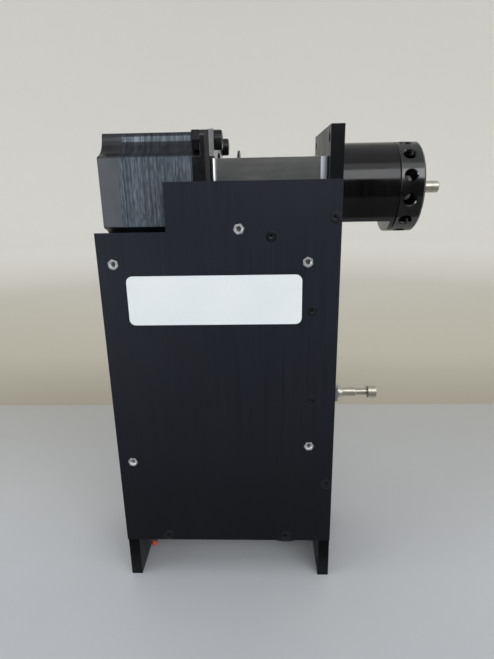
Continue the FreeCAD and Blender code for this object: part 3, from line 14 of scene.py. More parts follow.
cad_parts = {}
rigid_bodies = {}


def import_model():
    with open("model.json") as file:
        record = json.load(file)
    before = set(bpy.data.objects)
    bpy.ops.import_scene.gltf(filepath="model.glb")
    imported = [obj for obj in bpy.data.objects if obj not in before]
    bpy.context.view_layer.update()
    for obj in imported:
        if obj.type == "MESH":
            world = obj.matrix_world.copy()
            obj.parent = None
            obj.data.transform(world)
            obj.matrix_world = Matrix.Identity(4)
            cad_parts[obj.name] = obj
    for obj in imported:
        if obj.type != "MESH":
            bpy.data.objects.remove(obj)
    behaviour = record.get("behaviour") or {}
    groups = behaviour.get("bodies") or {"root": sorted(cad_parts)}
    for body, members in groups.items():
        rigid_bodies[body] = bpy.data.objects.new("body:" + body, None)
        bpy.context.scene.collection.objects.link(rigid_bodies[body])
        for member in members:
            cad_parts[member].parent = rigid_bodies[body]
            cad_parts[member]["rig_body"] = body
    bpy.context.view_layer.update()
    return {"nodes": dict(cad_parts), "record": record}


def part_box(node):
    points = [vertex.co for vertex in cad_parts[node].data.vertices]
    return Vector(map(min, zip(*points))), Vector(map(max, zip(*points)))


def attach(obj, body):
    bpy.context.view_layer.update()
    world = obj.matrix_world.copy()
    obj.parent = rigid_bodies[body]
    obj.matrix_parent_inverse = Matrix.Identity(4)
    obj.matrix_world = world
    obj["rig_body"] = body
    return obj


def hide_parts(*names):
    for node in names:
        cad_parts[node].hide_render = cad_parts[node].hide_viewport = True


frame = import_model()
nodes = frame["nodes"]
slot_of = {part["node"]: part["material_slot"] for part in frame["record"]["subparts"]}

MM = 0.001
X_AXIS, Y_AXIS, Z_AXIS = Vector((1, 0, 0)), Vector((0, 1, 0)), Vector((0, 0, 1))


def middle(node):
    """The middle of a CAD node's box."""
    low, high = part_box(node)
    return (low + high) / 2


valve_axis = middle("port_ring")
screw_axis = middle("lead_screw")


# ---------------------------------------------------------------- finishes

class Shader:
    """A node material round one Principled shader. Its patterns are in the row frame, in metres."""

    def __init__(self, name, colour, metallic=0.0, roughness=0.5, **sockets):
        self.material = bpy.data.materials.new(name)
        self.material.use_nodes = True
        self.tree = self.material.node_tree
        self.surface = self.tree.nodes["Principled BSDF"]
        self.set("Base Color", (*colour, 1))
        self.set("Metallic", metallic)
        self.set("Roughness", roughness)
        for socket, value in sockets.items():
            self.set(socket.replace("_", " "), value)
        self.place = self.add("ShaderNodeTexCoord").outputs["Object"]

    def set(self, socket, value):
        self.surface.inputs[socket].default_value = value

    def add(self, kind, **settings):
        node = self.tree.nodes.new(kind)
        for name, value in settings.items():
            setattr(node, name, value)
        return node

    def join(self, output, target):
        self.tree.links.new(output, target)

    def drive(self, socket, output):
        """Let a pattern drive one socket of the Principled shader."""
        self.join(output, self.surface.inputs[socket])

    def stretched(self, scale, source=None, shift=(0, 0, 0)):
        """Coordinates scaled along each axis, so that a pattern can be drawn out."""
        mapping = self.add("ShaderNodeMapping")
        mapping.inputs["Location"].default_value = shift
        mapping.inputs["Scale"].default_value = scale
        self.join(source or self.place, mapping.inputs["Vector"])
        return mapping.outputs["Vector"]

    def round_axis(self, axis, centre):
        """Coordinates for a turned piece: x runs along the axis and y is the distance from it."""
        keep = [0 if index == axis else 1 for index in range(3)]
        shifted = self.add("ShaderNodeVectorMath", operation="SUBTRACT")
        self.join(self.place, shifted.inputs[0])
        shifted.inputs[1].default_value = centre
        across = self.add("ShaderNodeVectorMath", operation="MULTIPLY")
        self.join(shifted.outputs[0], across.inputs[0])
        across.inputs[1].default_value = keep
        reach = self.add("ShaderNodeVectorMath", operation="LENGTH")
        self.join(across.outputs[0], reach.inputs[0])
        split = self.add("ShaderNodeSeparateXYZ")
        self.join(shifted.outputs[0], split.inputs[0])
        joined = self.add("ShaderNodeCombineXYZ")
        self.join(split.outputs[axis], joined.inputs[0])
        self.join(reach.outputs["Value"], joined.inputs[1])
        return joined.outputs[0]

    def noise(self, vector, scale=1.0, detail=3.0, roughness=0.55):
        """A cloudy pattern from 0 to 1."""
        texture = self.add("ShaderNodeTexNoise")
        texture.inputs["Scale"].default_value = scale
        texture.inputs["Detail"].default_value = detail
        texture.inputs["Roughness"].default_value = roughness
        self.join(vector, texture.inputs["Vector"])
        return texture.outputs["Fac"]

    def cells(self, scale):
        """Distance to scattered points."""
        texture = self.add("ShaderNodeTexVoronoi")
        texture.inputs["Scale"].default_value = scale
        self.join(self.place, texture.inputs["Vector"])
        return texture.outputs["Distance"]

    def split(self):
        """The separate X, Y and Z of a place."""
        node = self.add("ShaderNodeSeparateXYZ")
        self.join(self.place, node.inputs[0])
        return node.outputs

    def spread(self, value, low, high, start=0.3, end=0.7):
        """Map a pattern's start..end to low..high."""
        spread = self.add("ShaderNodeMapRange")
        for socket, number in zip(("From Min", "From Max", "To Min", "To Max"), (start, end, low, high)):
            spread.inputs[socket].default_value = number
        self.join(value, spread.inputs["Value"])
        return spread.outputs["Result"]

    def blend(self, factor, one, other):
        """Mix two colours; either may be a colour or another pattern."""
        mix = self.add("ShaderNodeMix", data_type="RGBA")
        self.join(factor, mix.inputs["Factor"])
        for socket, value in ((mix.inputs[6], one), (mix.inputs[7], other)):
            if isinstance(value, tuple):
                socket.default_value = (*value, 1)
            else:
                self.join(value, socket)
        return mix.outputs[2]

    def relief(self, height, depth):
        """Raise the surface by a pattern, to a depth in metres."""
        bump = self.add("ShaderNodeBump")
        bump.inputs["Strength"].default_value = 1.0
        bump.inputs["Distance"].default_value = depth
        self.join(height, bump.inputs["Height"])
        self.drive("Normal", bump.outputs["Normal"])


BRUSHING = (1400, 1400, 14)
# Heights in metres between which the painted shade low on black plates fades out.
SHADE_FULL_BELOW, SHADE_GONE_ABOVE = 0.02, 0.19
BARE_SPECK = (0.05, 0.055, 0.06)


def anodised(name, dark, light, roughness, ior=1.42):
    """Black anodised plate: fine brushing up the sheet, painted shade that darkens it towards the
    bottom, a few bare specks.
    """
    shader = Shader(name, dark, 0.0, roughness, IOR=ior)
    streaks = shader.noise(shader.stretched(BRUSHING), detail=4)
    fine = shader.noise(shader.stretched([3 * size for size in BRUSHING], shift=(2, 5, 1)), detail=2)
    clouds = shader.noise(shader.place, scale=22, detail=3)
    patches = shader.noise(shader.stretched((60, 60, 16), shift=(1, 0, 3)), detail=3)
    toned = shader.blend(shader.spread(streaks, 0, 1), dark, light)
    clouded = shader.blend(shader.spread(clouds, 0, 0.45), toned, light)
    patched = shader.blend(shader.spread(patches, 0, 0.6), clouded, dark)
    # Painted shade: the plate is darkened towards its bottom, fully below the lower height and not at
    # all above the upper one.
    low_shade_colour = (0.35 * dark[0], 0.35 * dark[1], 0.25 * dark[2])
    low_shade = shader.spread(shader.split()["Z"], 0.8, 0, SHADE_FULL_BELOW, SHADE_GONE_ABOVE)
    low_shaded = shader.blend(low_shade, patched, low_shade_colour)
    specks = shader.spread(shader.cells(130), 1, 0, 0.012, 0.03)
    shader.drive("Base Color", shader.blend(specks, low_shaded, BARE_SPECK))
    shader.drive("Roughness", shader.spread(patches, roughness - 0.07, roughness + 0.07))
    shader.relief(fine, 2e-6)
    return shader.material


def turned_metal(name, dark, light, metallic, roughness, axis, centre, depth=2e-6, **sockets):
    """Lathe-turned metal: fine rings round its axis, and a little smudging."""
    shader = Shader(name, light, metallic, roughness, **sockets)
    turned = shader.round_axis(axis, centre)
    rings = shader.noise(shader.stretched((4200, 4200, 0), turned), detail=3)
    wide = shader.noise(shader.stretched((900, 900, 0), turned, shift=(3, 1, 0)), detail=2)
    smudges = shader.noise(shader.place, scale=90, detail=3)
    toned = shader.blend(shader.spread(wide, 0, 1), dark, light)
    shader.drive("Base Color", shader.blend(shader.spread(smudges, 0, 0.35), toned, dark))
    shader.drive("Roughness", shader.spread(smudges, roughness - 0.05, roughness + 0.08))
    shader.relief(rings, depth)
    return shader.material


def sheet_metal(name, dark, light, roughness, grain=(40, 40, 900)):
    """Bare rolled or ground metal, with a grain along the sheet and dull clouds."""
    shader = Shader(name, light, 1.0, roughness)
    lines = shader.noise(shader.stretched(grain), detail=4)
    clouds = shader.noise(shader.place, scale=60, detail=4)
    toned = shader.blend(shader.spread(lines, 0, 1), dark, light)
    shader.drive("Base Color", shader.blend(shader.spread(clouds, 0, 0.5), toned, dark))
    shader.drive("Roughness", shader.spread(clouds, roughness - 0.06, roughness + 0.1))
    shader.relief(lines, 1.5e-6)
    return shader.material


def bent_sheet(name):
    """Satin sheet metal, with painted highlights at its two bends: bluish-white streaks, less metallic
    and duller there.
    """
    shader = Shader(name, (0.36, 0.355, 0.34), 1.0, 0.3)
    low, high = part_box("valve_bracket")
    along = shader.split()["X"]
    # Painted highlight masks for the two bends: a faint one over the flange by the first bend, a full
    # one over the last bend.
    first = shader.spread(along, 0.12, 0, low.x + 2.2 * MM, low.x + 2.8 * MM)
    last = shader.spread(along, 0, 1, high.x - 4.1 * MM, high.x - 3.2 * MM)
    bend_highlights = shader.add("ShaderNodeMath", operation="ADD")
    shader.join(first, bend_highlights.inputs[0])
    shader.join(last, bend_highlights.inputs[1])
    lines = shader.noise(shader.stretched((60, 60, 420)), detail=4)
    highlight_streaks = shader.noise(shader.stretched((900, 30, 30)), detail=2)
    clouds = shader.noise(shader.stretched((45, 45, 110)), detail=3)
    toned = shader.blend(shader.spread(lines, 0, 0.6), (0.49, 0.49, 0.475), (0.72, 0.715, 0.68))
    clouded = shader.blend(shader.spread(clouds, 0, 0.7), toned, (0.30, 0.30, 0.30))
    # Painted highlight colour at the bends: bluish-white streaks drawn up them.
    stretched = shader.blend(shader.spread(highlight_streaks, 0, 1), (0.62, 0.67, 0.76), (0.97, 0.98, 1.0))
    shader.drive("Base Color", shader.blend(bend_highlights.outputs[0], clouded, stretched))
    shader.drive("Metallic", shader.spread(bend_highlights.outputs[0], 1.0, 0.12, 0, 1))
    shader.drive("Roughness", shader.spread(bend_highlights.outputs[0], 0.30, 0.42, 0, 1))
    return shader.material


def grained(name, dark, light, roughness, grain, depth, metallic=0.0, **sockets):
    """A cast, moulded or painted surface with an even fine grain."""
    shader = Shader(name, light, metallic, roughness, **sockets)
    fine = shader.noise(shader.place, scale=grain, detail=3)
    clouds = shader.noise(shader.place, scale=grain / 14, detail=2)
    toned = shader.blend(shader.spread(clouds, 0, 1), dark, light)
    shader.drive("Base Color", shader.blend(shader.spread(fine, 0, 0.4), toned, dark))
    shader.drive("Roughness", shader.spread(clouds, roughness - 0.05, roughness + 0.06))
    shader.relief(fine, depth)
    return shader.material


def laminated_steel(name, dark, light, roughness):
    """Stacked motor laminations under thin paint: each sheet's edge has its own tone."""
    shader = Shader(name, light, 0.35, roughness)
    sheets = shader.noise(shader.stretched((1100, 5, 5)), detail=3, roughness=0.8)
    dashes = shader.noise(shader.stretched((1150, 5, 230), shift=(1, 0, 2)), detail=0)
    patches = shader.noise(shader.stretched((160, 50, 50)), detail=3)
    toned = shader.blend(shader.spread(sheets, 0, 1, 0.34, 0.62), dark, light)
    dashed = shader.blend(shader.spread(dashes, 0, 0.6, 0.40, 0.64), toned, dark)
    shader.drive("Base Color", shader.blend(shader.spread(patches, 0, 0.35), dashed, dark))
    shader.drive("Roughness", shader.spread(patches, roughness - 0.06, roughness + 0.1))
    shader.relief(sheets, 6e-6)
    return shader.material


def label_stock(name):
    """Satin white label film, with a faint mottle and a slight yellowing."""
    shader = Shader(name, (0.8, 0.82, 0.82), 0.0, 0.42, Coat_Weight=0.15, Coat_Roughness=0.3)
    mottle = shader.noise(shader.place, scale=700, detail=3)
    clouds = shader.noise(shader.place, scale=30, detail=2)
    paper = shader.blend(shader.spread(clouds, 0, 1), (0.715, 0.745, 0.75), (0.755, 0.775, 0.77))
    shader.drive("Base Color", shader.blend(shader.spread(mottle, 0, 0.3), paper, (0.685, 0.71, 0.715)))
    shader.drive("Roughness", shader.spread(mottle, 0.38, 0.48))
    shader.relief(mottle, 1.5e-6)
    return shader.material


def circuit_board(name):
    """Green solder mask over a maze of copper tracks, with bare pads."""
    shader = Shader(name, (0.02, 0.16, 0.06), 0.0, 0.32, Coat_Weight=0.4, Coat_Roughness=0.15)
    tracks = shader.add("ShaderNodeTexBrick", offset=0.5, squash=0.6)
    tracks.inputs["Scale"].default_value = 1
    tracks.inputs["Brick Width"].default_value = 4.2
    tracks.inputs["Row Height"].default_value = 1.3
    tracks.inputs["Mortar Size"].default_value = 0.16
    shader.join(shader.stretched((1000, 1000, 1000)), tracks.inputs["Vector"])
    pads = shader.spread(shader.cells(260), 1, 0, 0.10, 0.12)
    masked = shader.blend(tracks.outputs["Fac"], (0.012, 0.115, 0.045), (0.03, 0.21, 0.08))
    shader.drive("Base Color", shader.blend(pads, masked, (0.62, 0.60, 0.52)))
    shader.relief(tracks.outputs["Fac"], 1e-5)
    return shader.material


def lamp_lens(name):
    """Moulded red lens with a paler core."""
    shader = Shader(name, (0.55, 0.03, 0.015), 0.0, 0.18, Transmission_Weight=0.25, IOR=1.5)
    swirl = shader.noise(shader.place, scale=900, detail=2)
    toned = shader.blend(shader.spread(swirl, 0, 1), (0.46, 0.045, 0.018), (0.58, 0.075, 0.030))
    shader.drive("Base Color", toned)
    shader.drive("Roughness", shader.spread(swirl, 0.14, 0.26))
    shader.set("Emission Color", (0.8, 0.05, 0.02, 1))
    shader.set("Emission Strength", 0.05)
    return shader.material


def make_finishes():
    """One finish for each material slot of the record."""
    axis = tuple(valve_axis)
    screw = tuple(screw_axis)
    return {
        "black_anodised": anodised(
            "anodised_cover", (0.0050, 0.0065, 0.0115), (0.0160, 0.0192, 0.0290), 0.42),
        "raw_edge_black": anodised(
            "anodised_plate", (0.0012, 0.0014, 0.0020), (0.0034, 0.0038, 0.0050), 0.38, 1.32),
        "label_stock": label_stock("label_film"),
        "bright_steel": turned_metal(
            "turned_steel", (0.55, 0.515, 0.43), (0.74, 0.70, 0.59), 0.9, 0.36, 0, axis),
        "bracket_steel": bent_sheet("bracket_sheet"),
        "ground_steel": turned_metal(
            "ground_steel", (0.46, 0.46, 0.47), (0.68, 0.68, 0.69), 1.0, 0.18, 2, screw),
        "black_screws": grained(
            "black_oxide", (0.008, 0.008, 0.009), (0.022, 0.022, 0.024), 0.30, 2600, 3e-6, 0.5),
        "cover_screws_black": grained(
            "flush_oxide", (0.004, 0.0045, 0.006), (0.010, 0.011, 0.014), 0.36, 2600, 3e-6),
        "plated_steel": grained(
            "zinc_plate", (0.52, 0.52, 0.52), (0.70, 0.70, 0.70), 0.40, 2600, 3e-6, 0.75),
        "motor_grey": grained(
            "cast_grey", (0.072, 0.076, 0.083), (0.092, 0.097, 0.105), 0.44, 1500, 8e-6),
        "motor_black": grained(
            "cast_black", (0.004, 0.004, 0.005), (0.010, 0.010, 0.012), 0.26, 1500, 5e-6),
        "lamination": laminated_steel(
            "laminations", (0.034, 0.043, 0.055), (0.215, 0.255, 0.295), 0.40),
        "isolator_rubber": grained(
            "isolator_rubber", (0.010, 0.009, 0.009), (0.022, 0.019, 0.019), 0.75, 1900, 1e-5),
        "belt_rubber": grained(
            "belt_rubber", (0.010, 0.010, 0.010), (0.025, 0.025, 0.025), 0.7, 2200, 1e-5),
        "valve_black": turned_metal(
            "valve_anodised", (0.0014, 0.0014, 0.0013), (0.0070, 0.0069, 0.0064),
            0.0, 0.125, 0, axis, 8e-7),
        "ring_black": turned_metal(
            "ring_anodised", (0.0016, 0.0016, 0.0015), (0.0070, 0.0069, 0.0065),
            0.0, 0.14, 0, axis, 9e-7, IOR=1.78),
        "valve_rotor_plastic": grained(
            "fluoropolymer", (0.70, 0.68, 0.62), (0.82, 0.80, 0.74), 0.45, 900, 4e-6),
        "bearing_bronze": grained(
            "sintered_bronze", (0.33, 0.20, 0.09), (0.60, 0.40, 0.20), 0.38, 3000, 6e-6, 1.0),
        "carriage_alloy": sheet_metal(
            "clear_anodised", (0.50, 0.51, 0.53), (0.68, 0.69, 0.71), 0.40, (900, 40, 40)),
        "coupling_alloy": turned_metal(
            "turned_alloy", (0.50, 0.51, 0.53), (0.70, 0.71, 0.72), 1.0, 0.30, 0, axis),
        "pulley_black": grained(
            "hard_anodised", (0.010, 0.010, 0.011), (0.020, 0.020, 0.022), 0.36, 2600, 3e-6),
        "encoder_black": grained(
            "etched_disc", (0.010, 0.010, 0.011), (0.025, 0.025, 0.026), 0.38, 2200, 3e-6, 0.4),
        "board_green": circuit_board("solder_mask"),
        "chip_black": grained(
            "moulded_epoxy", (0.010, 0.010, 0.011), (0.024, 0.024, 0.026), 0.55, 4000, 6e-6),
        "header_ivory": grained(
            "moulded_nylon", (0.62, 0.58, 0.46), (0.78, 0.74, 0.62), 0.48, 1800, 5e-6),
        "can_blue": grained(
            "sleeve_blue", (0.018, 0.035, 0.10), (0.035, 0.065, 0.17), 0.28, 1200, 3e-6),
        "sink_black": grained(
            "sink_anodised", (0.008, 0.008, 0.009), (0.018, 0.018, 0.019), 0.42, 2400, 4e-6),
        "connector_shell": sheet_metal(
            "tinned_shell", (0.48, 0.47, 0.44), (0.72, 0.71, 0.68), 0.30),
        "sensor_black": grained(
            "moulded_black", (0.009, 0.009, 0.010), (0.022, 0.022, 0.024), 0.5, 2600, 6e-6),
        "lamp_red": lamp_lens("red_lens"),
        "holder_grey": grained(
            "moulded_grey", (0.018, 0.020, 0.026), (0.035, 0.038, 0.046), 0.42, 2200, 5e-6),
    }


def make_edge_finishes():
    """A paler tone on the eased edges of black plates, a dark finish on the motor bells' edges that is
    painted shade on the rear bell's rounded edges and notches, and painted shade on the laminations'
    notch faces.
    """
    plate = anodised("anodised_edge", (0.008, 0.009, 0.011), (0.018, 0.019, 0.022), 0.30, 1.36)
    # Painted shade: a dark finish for the rear motor bell's rounded edges and notches, also used on the
    # front bell's edges.
    dark_edge_shade = grained("cast_edge_dark_shade", (0.006, 0.006, 0.007), (0.014, 0.015, 0.016), 0.24, 1500, 4e-6)
    # Painted shade on the up- and down-facing faces of the valve motor's notches.
    sheets = laminated_steel("laminations_notch_shade", (0.004, 0.005, 0.007), (0.05, 0.058, 0.07), 0.3)
    return {
        "black_anodised": plate, "raw_edge_black": plate, "motor_black": dark_edge_shade, "motor_grey": dark_edge_shade,
        "lamination": sheets,
    }


finishes = make_finishes()
edge_finishes = make_edge_finishes()


# ---------------------------------------------------------------- pieces

def sharpen(mesh, limit=32):
    """Mark the edges where a surface turns sharply, so that shading breaks there."""
    for face in mesh.faces:
        face.smooth = True
    for edge in mesh.edges:
        if edge.is_manifold and edge.calc_face_angle(0) > math.radians(limit):
            edge.smooth = False


def add_piece(name, mesh, *stands_for, body=None, slot=None, weighted=True):
    """Make an object of a bmesh, which rides with and is finished like the CAD node it stands for."""
    bmesh.ops.recalc_face_normals(mesh, faces=mesh.faces)
    sharpen(mesh)
    data = bpy.data.meshes.new(name)
    mesh.to_mesh(data)
    mesh.free()
    item = bpy.data.objects.new(name, data)
    bpy.context.scene.collection.objects.link(item)
    slot = slot or slot_of[stands_for[0]]
    data.materials.append(finishes[slot])
    if weighted:
        normals = item.modifiers.new("normals", "WEIGHTED_NORMAL")
        normals.keep_sharp = True
    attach(item, body or nodes[stands_for[0]]["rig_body"])
    if stands_for:
        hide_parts(*stands_for)
    return item


def cad_mesh(node):
    """A welded copy of a CAD node's mesh, with its flat faces joined up."""
    mesh = bmesh.new()
    mesh.from_mesh(nodes[node].data)
    bmesh.ops.remove_doubles(mesh, verts=mesh.verts, dist=0.002 * MM)
    bmesh.ops.dissolve_limit(
        mesh, angle_limit=math.radians(0.4), verts=mesh.verts, edges=mesh.edges)
    return mesh


def eased(node, width):
    """Stand in for a CAD node with the same shape, its sharp edges eased by a small radius."""
    item = add_piece(node + "_eased", cad_mesh(node), node, weighted=False)
    for layer in [layer for layer in item.data.attributes if layer.name == "custom_normal"]:
        item.data.attributes.remove(layer)
    edge_finish = edge_finishes.get(slot_of[node])
    bevel = item.modifiers.new("eased_edges", "BEVEL")
    bevel.width = width * MM
    bevel.segments = 2
    bevel.limit_method = "ANGLE"
    bevel.angle_limit = math.radians(38)
    bevel.harden_normals = True
    bevel.use_clamp_overlap = True
    if edge_finish is not None:
        item.data.materials.append(edge_finish)
        bevel.material = 1
    return item


def solids(node):
    """The lowest and highest corner of each separate solid of a CAD node."""
    mesh = bmesh.new()
    mesh.from_mesh(nodes[node].data)
    bmesh.ops.remove_doubles(mesh, verts=mesh.verts, dist=0.002 * MM)
    waiting = set(mesh.verts)
    found = []
    while waiting:
        front = [waiting.pop()]
        island = []
        while front:
            vert = front.pop()
            island.append(vert.co.copy())
            for edge in vert.link_edges:
                other = edge.other_vert(vert)
                if other in waiting:
                    waiting.remove(other)
                    front.append(other)
        low = Vector([min(point[axis] for point in island) for axis in range(3)])
        high = Vector([max(point[axis] for point in island) for axis in range(3)])
        found.append((low, high))
    mesh.free()
    return sorted(found, key=lambda pair: tuple(pair[0]))


def facing(origin, direction, turn=0.0):
    """A frame at origin whose Z axis points along direction, turned about it."""
    rotation = direction.to_track_quat("Z", "Y").to_matrix().to_4x4()
    return Matrix.Translation(origin) @ rotation @ Matrix.Rotation(turn, 4, "Z")


ROUNDING_STEPS = 3


def rounded(profile, size):
    """A profile of (radius, height) points with each inner corner rounded off."""
    points = [Vector(point) for point in profile]
    result = [tuple(points[0])]
    for before, corner, after in zip(points, points[1:], points[2:]):
        reach = min(size, (before - corner).length * 0.45, (after - corner).length * 0.45)
        start = corner + (before - corner).normalized() * reach
        end = corner + (after - corner).normalized() * reach
        for step in range(ROUNDING_STEPS + 1):
            along = step / ROUNDING_STEPS
            result.append(tuple(start.lerp(corner, along).lerp(corner.lerp(end, along), along)))
    result.append(tuple(points[-1]))
    return result


def turned_rings(mesh, loops, place, segments):
    """A ring of points for each (radius, height) up local Z; a radius may depend on the angle."""
    rings = []
    for radius, height in loops:
        ring = []
        for step in range(segments):
            angle = math.tau * step / segments
            reach = radius(angle) if callable(radius) else radius
            spot = Vector((reach * math.cos(angle), reach * math.sin(angle), height))
            ring.append(mesh.verts.new(place @ spot))
        rings.append(ring)
    return rings


def join_rings(mesh, rings):
    """Quads from each ring of points to the next."""
    for low, high in zip(rings, rings[1:]):
        for step in range(len(low)):
            following = (step + 1) % len(low)
            mesh.faces.new((low[step], low[following], high[following], high[step]))


def lathe(mesh, loops, place, segments):
    """Add a turned shape with a flat disc at each end."""
    rings = turned_rings(mesh, loops, place, segments)
    join_rings(mesh, rings)
    mesh.faces.new(rings[0][::-1])
    mesh.faces.new(rings[-1])


def tube(mesh, loops, place, segments):
    """Add a turned shape with a hole through it: the last loop meets the first."""
    rings = turned_rings(mesh, loops, place, segments)
    join_rings(mesh, rings + rings[:1])


def hexagonal(across):
    """The radius of a hexagon, measured across its flats, at each angle."""
    def radius(angle):
        return across / 2 / math.cos((angle + math.pi / 6) % (math.pi / 3) - math.pi / 6)
    return radius


def at_most(radius, limit):
    """A shaped radius, cut off at a round limit."""
    return lambda angle: min(radius(angle), limit)


def socket_loops(across, top, depth):
    """The loops of a hexagon socket, from its mouth down to its floor."""
    return [
        (hexagonal(across + 0.2 * MM), top), (hexagonal(across), top - 0.12 * MM),
        (hexagonal(across), top - depth), (0.12 * across, top - depth - 0.2 * across),
    ]


# ---------------------------------------------------------------- plates, housings and small blocks

EASED_EDGES = {
    "front_panel": 0.35, "rear_foot": 0.35, "base_plate": 0.3, "lower_cross_bar": 0.3,
    "bearing_bar": 0.3,
    "valve_deck": 0.3, "side_cover": 0.14, "far_side_cover": 0.14, "rear_panel": 0.12,
    "valve_bracket": 0.16, "motor_shim": 0.06, "motor_isolator_pad": 0.25, "valve_motor_rear_bell": 0.7,
    "valve_motor_front_bell": 0.4, "carriage": 0.3,
    "plunger_stud": 0.12, "valve_shaft": 0.12, "shaft_coupling": 0.2, "blank_label": 0.05,
    "lamp_holder": 0.25, "status_lamp": 0.12, "drive_motor_bells": 0.4, "encoder_sensor": 0.2,
    "home_sensor": 0.2, "driver_heat_sink": 0.12, "board_chips": 0.15, "board_headers": 0.2,
    "controller_board": 0.1, "encoder_board": 0.1, "encoder_disc": 0.08, "driven_pulley": 0.12,
    "drive_pulley": 0.12,
}


def ease_all():
    for node, width in EASED_EDGES.items():
        item = eased(node, width)
        if node == "motor_shim":
            item.data.materials[0] = finishes["sink_black"]
        if slot_of[node] == "motor_grey":
            # Painted shade: only the rear bell's flat faces keep the grey; its rounded edges and notches
            # take the dark edge finish.
            for face in item.data.polygons:
                face.material_index = 0 if max(abs(part) for part in face.normal) > 0.99 else 1


# ---------------------------------------------------------------- fasteners

def knurled(radius, teeth=30, depth=0.09 * MM):
    """The radius of a knurled rim."""
    return lambda angle: radius - depth * abs(math.sin(angle * teeth / 2))


def ridged(radius, start, end, pitch, depth):
    """Thread crests and roots between two heights, as loops."""
    count = max(1, round(abs(end - start) / pitch))
    step = (end - start) / count
    loops = []
    for turn in range(count):
        loops.append((radius, start + turn * step))
        loops.append((radius - depth, start + (turn + 0.5) * step))
    loops.append((radius, end))
    return loops


SIXTH_TURN = math.pi / 3
SOCKET_M3, SOCKET_M4 = 2 * MM, 2.5 * MM


def flush_screws(node, heads):
    """Countersunk socket screws, flush with the plate that they enter."""
    mesh = bmesh.new()
    chooser = random.Random(node)
    for origin, outward, head_r, across in heads:
        place = facing(origin, outward, chooser.uniform(0, SIXTH_TURN))
        rim = [(0.5 * head_r, -0.48 * head_r), (head_r - 0.02 * MM, -0.16 * MM)]
        rim += [(head_r - 0.22 * MM, -0.03 * MM)]
        loops = rounded(rim + [(0.55 * head_r, 0)], 0.1 * MM) + socket_loops(across, 0, 1.2 * MM)
        lathe(mesh, loops, place, 48)
    return add_piece(node + "_detail", mesh, node)


def make_cover_screws():
    heads = []
    for low, high in solids("cover_screws"):
        centre = (low + high) / 2
        side = 1 if centre.y > 0 else -1
        face = high.y if side > 0 else low.y
        head_r = (high.x - low.x) / 2
        heads.append((Vector((centre.x, face, centre.z)), side * Y_AXIS, head_r, SOCKET_M3))
    flush_screws("cover_screws", heads)


def make_frame_screws():
    """The screws in the front panel and rear foot; the two short ones hold the rear panel."""
    heads = []
    for low, high in solids("frame_screws"):
        centre = (low + high) / 2
        side = 1 if centre.x > 0 else -1
        face = high.x if side > 0 else low.x
        head_r = (high.z - low.z) / 2
        across = SOCKET_M4 if head_r > 3 * MM else SOCKET_M3
        heads.append((Vector((face, centre.y, centre.z)), side * X_AXIS, head_r, across))
    flush_screws("frame_screws", heads)


CAP_THREAD_PITCH, CAP_THREAD_DEEP = 0.7 * MM, 0.2 * MM


def cap_screw(mesh, low, high, outward, head_long, shank_r, across, turn):
    """A knurled socket cap screw that fills a box, with its head at the outward end."""
    axis = max(range(3), key=lambda index: abs(outward[index]))
    side = (axis + 1) % 3
    head_r = (high[side] - low[side]) / 2
    end = (low + high) / 2
    end[axis] = high[axis] if outward[axis] > 0 else low[axis]
    length = high[axis] - low[axis]
    rim = knurled(head_r)
    loops = [(shank_r - 0.3 * MM, -length), (shank_r, 0.5 * MM - length)]
    thread_end = -head_long - 0.1 * MM
    loops += ridged(shank_r, 0.6 * MM - length, thread_end, CAP_THREAD_PITCH, CAP_THREAD_DEEP)
    loops += [(shank_r, -head_long), (head_r - 0.15 * MM, -head_long), (rim, -head_long + 0.2 * MM)]
    loops += [(rim, -0.22 * head_long), (head_r - 0.12 * MM, -0.16 * head_long)]
    loops += [(head_r - 0.3 * MM, -0.05 * head_long), (head_r - 0.6 * MM, 0)]
    loops += socket_loops(across, 0, 0.5 * head_long)
    lathe(mesh, loops, facing(end, outward, turn), 120)


def make_cap_screws():
    """Socket cap screws: head height, shank radius and socket width, in mm, and which way they face."""
    valve_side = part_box("port_ring")[0].x - 20 * MM
    kinds = {
        "valve_motor_screws": (3.8, 2.5, 4.0, lambda centre: X_AXIS),
        "valve_screws": (3.0, 1.5, 2.5, lambda centre: X_AXIS if centre.x > valve_side else -X_AXIS),
        "valve_motor_tie_screws": (3.0, 1.5, 2.5, lambda centre: -X_AXIS),
        "drive_motor_screws": (3.0, 1.5, 2.5, lambda centre: -Z_AXIS),
    }
    for node, (head_long, shank_r, across, outward) in kinds.items():
        mesh = bmesh.new()
        chooser = random.Random(node)
        for low, high in solids(node):
            direction = outward((low + high) / 2)
            turn = chooser.uniform(0, SIXTH_TURN)
            cap_screw(mesh, low, high, direction, head_long * MM, shank_r * MM, across * MM, turn)
        add_piece(node + "_detail", mesh, node)


def make_nuts():
    """The chamfered nuts in the valve motor's corner notches."""
    mesh = bmesh.new()
    for low, high in solids("valve_motor_nuts"):
        flats = hexagonal(high.z - low.z)
        long = high.x - low.x
        edge = 0.525 * (high.z - low.z)
        origin = Vector((low.x, (low.y + high.y) / 2, (low.z + high.z) / 2))
        loops = [(2.5 * MM, 0), (at_most(flats, edge), 0), (flats, 0.4 * MM), (flats, long - 0.4 * MM)]
        loops += [(at_most(flats, edge), long), (2.5 * MM, long)]
        tube(mesh, loops, facing(origin, X_AXIS, math.pi / 6), 96)
    add_piece("valve_motor_nuts_detail", mesh, "valve_motor_nuts")


STANDOFF_PROUD = 0.06 * MM
STANDOFF_HEX = 4.8 * MM
STANDOFF_BARREL = 2.1 * MM
STANDOFF_THREAD = 1.25 * MM
STANDOFF_THREAD_PITCH = 0.5 * MM


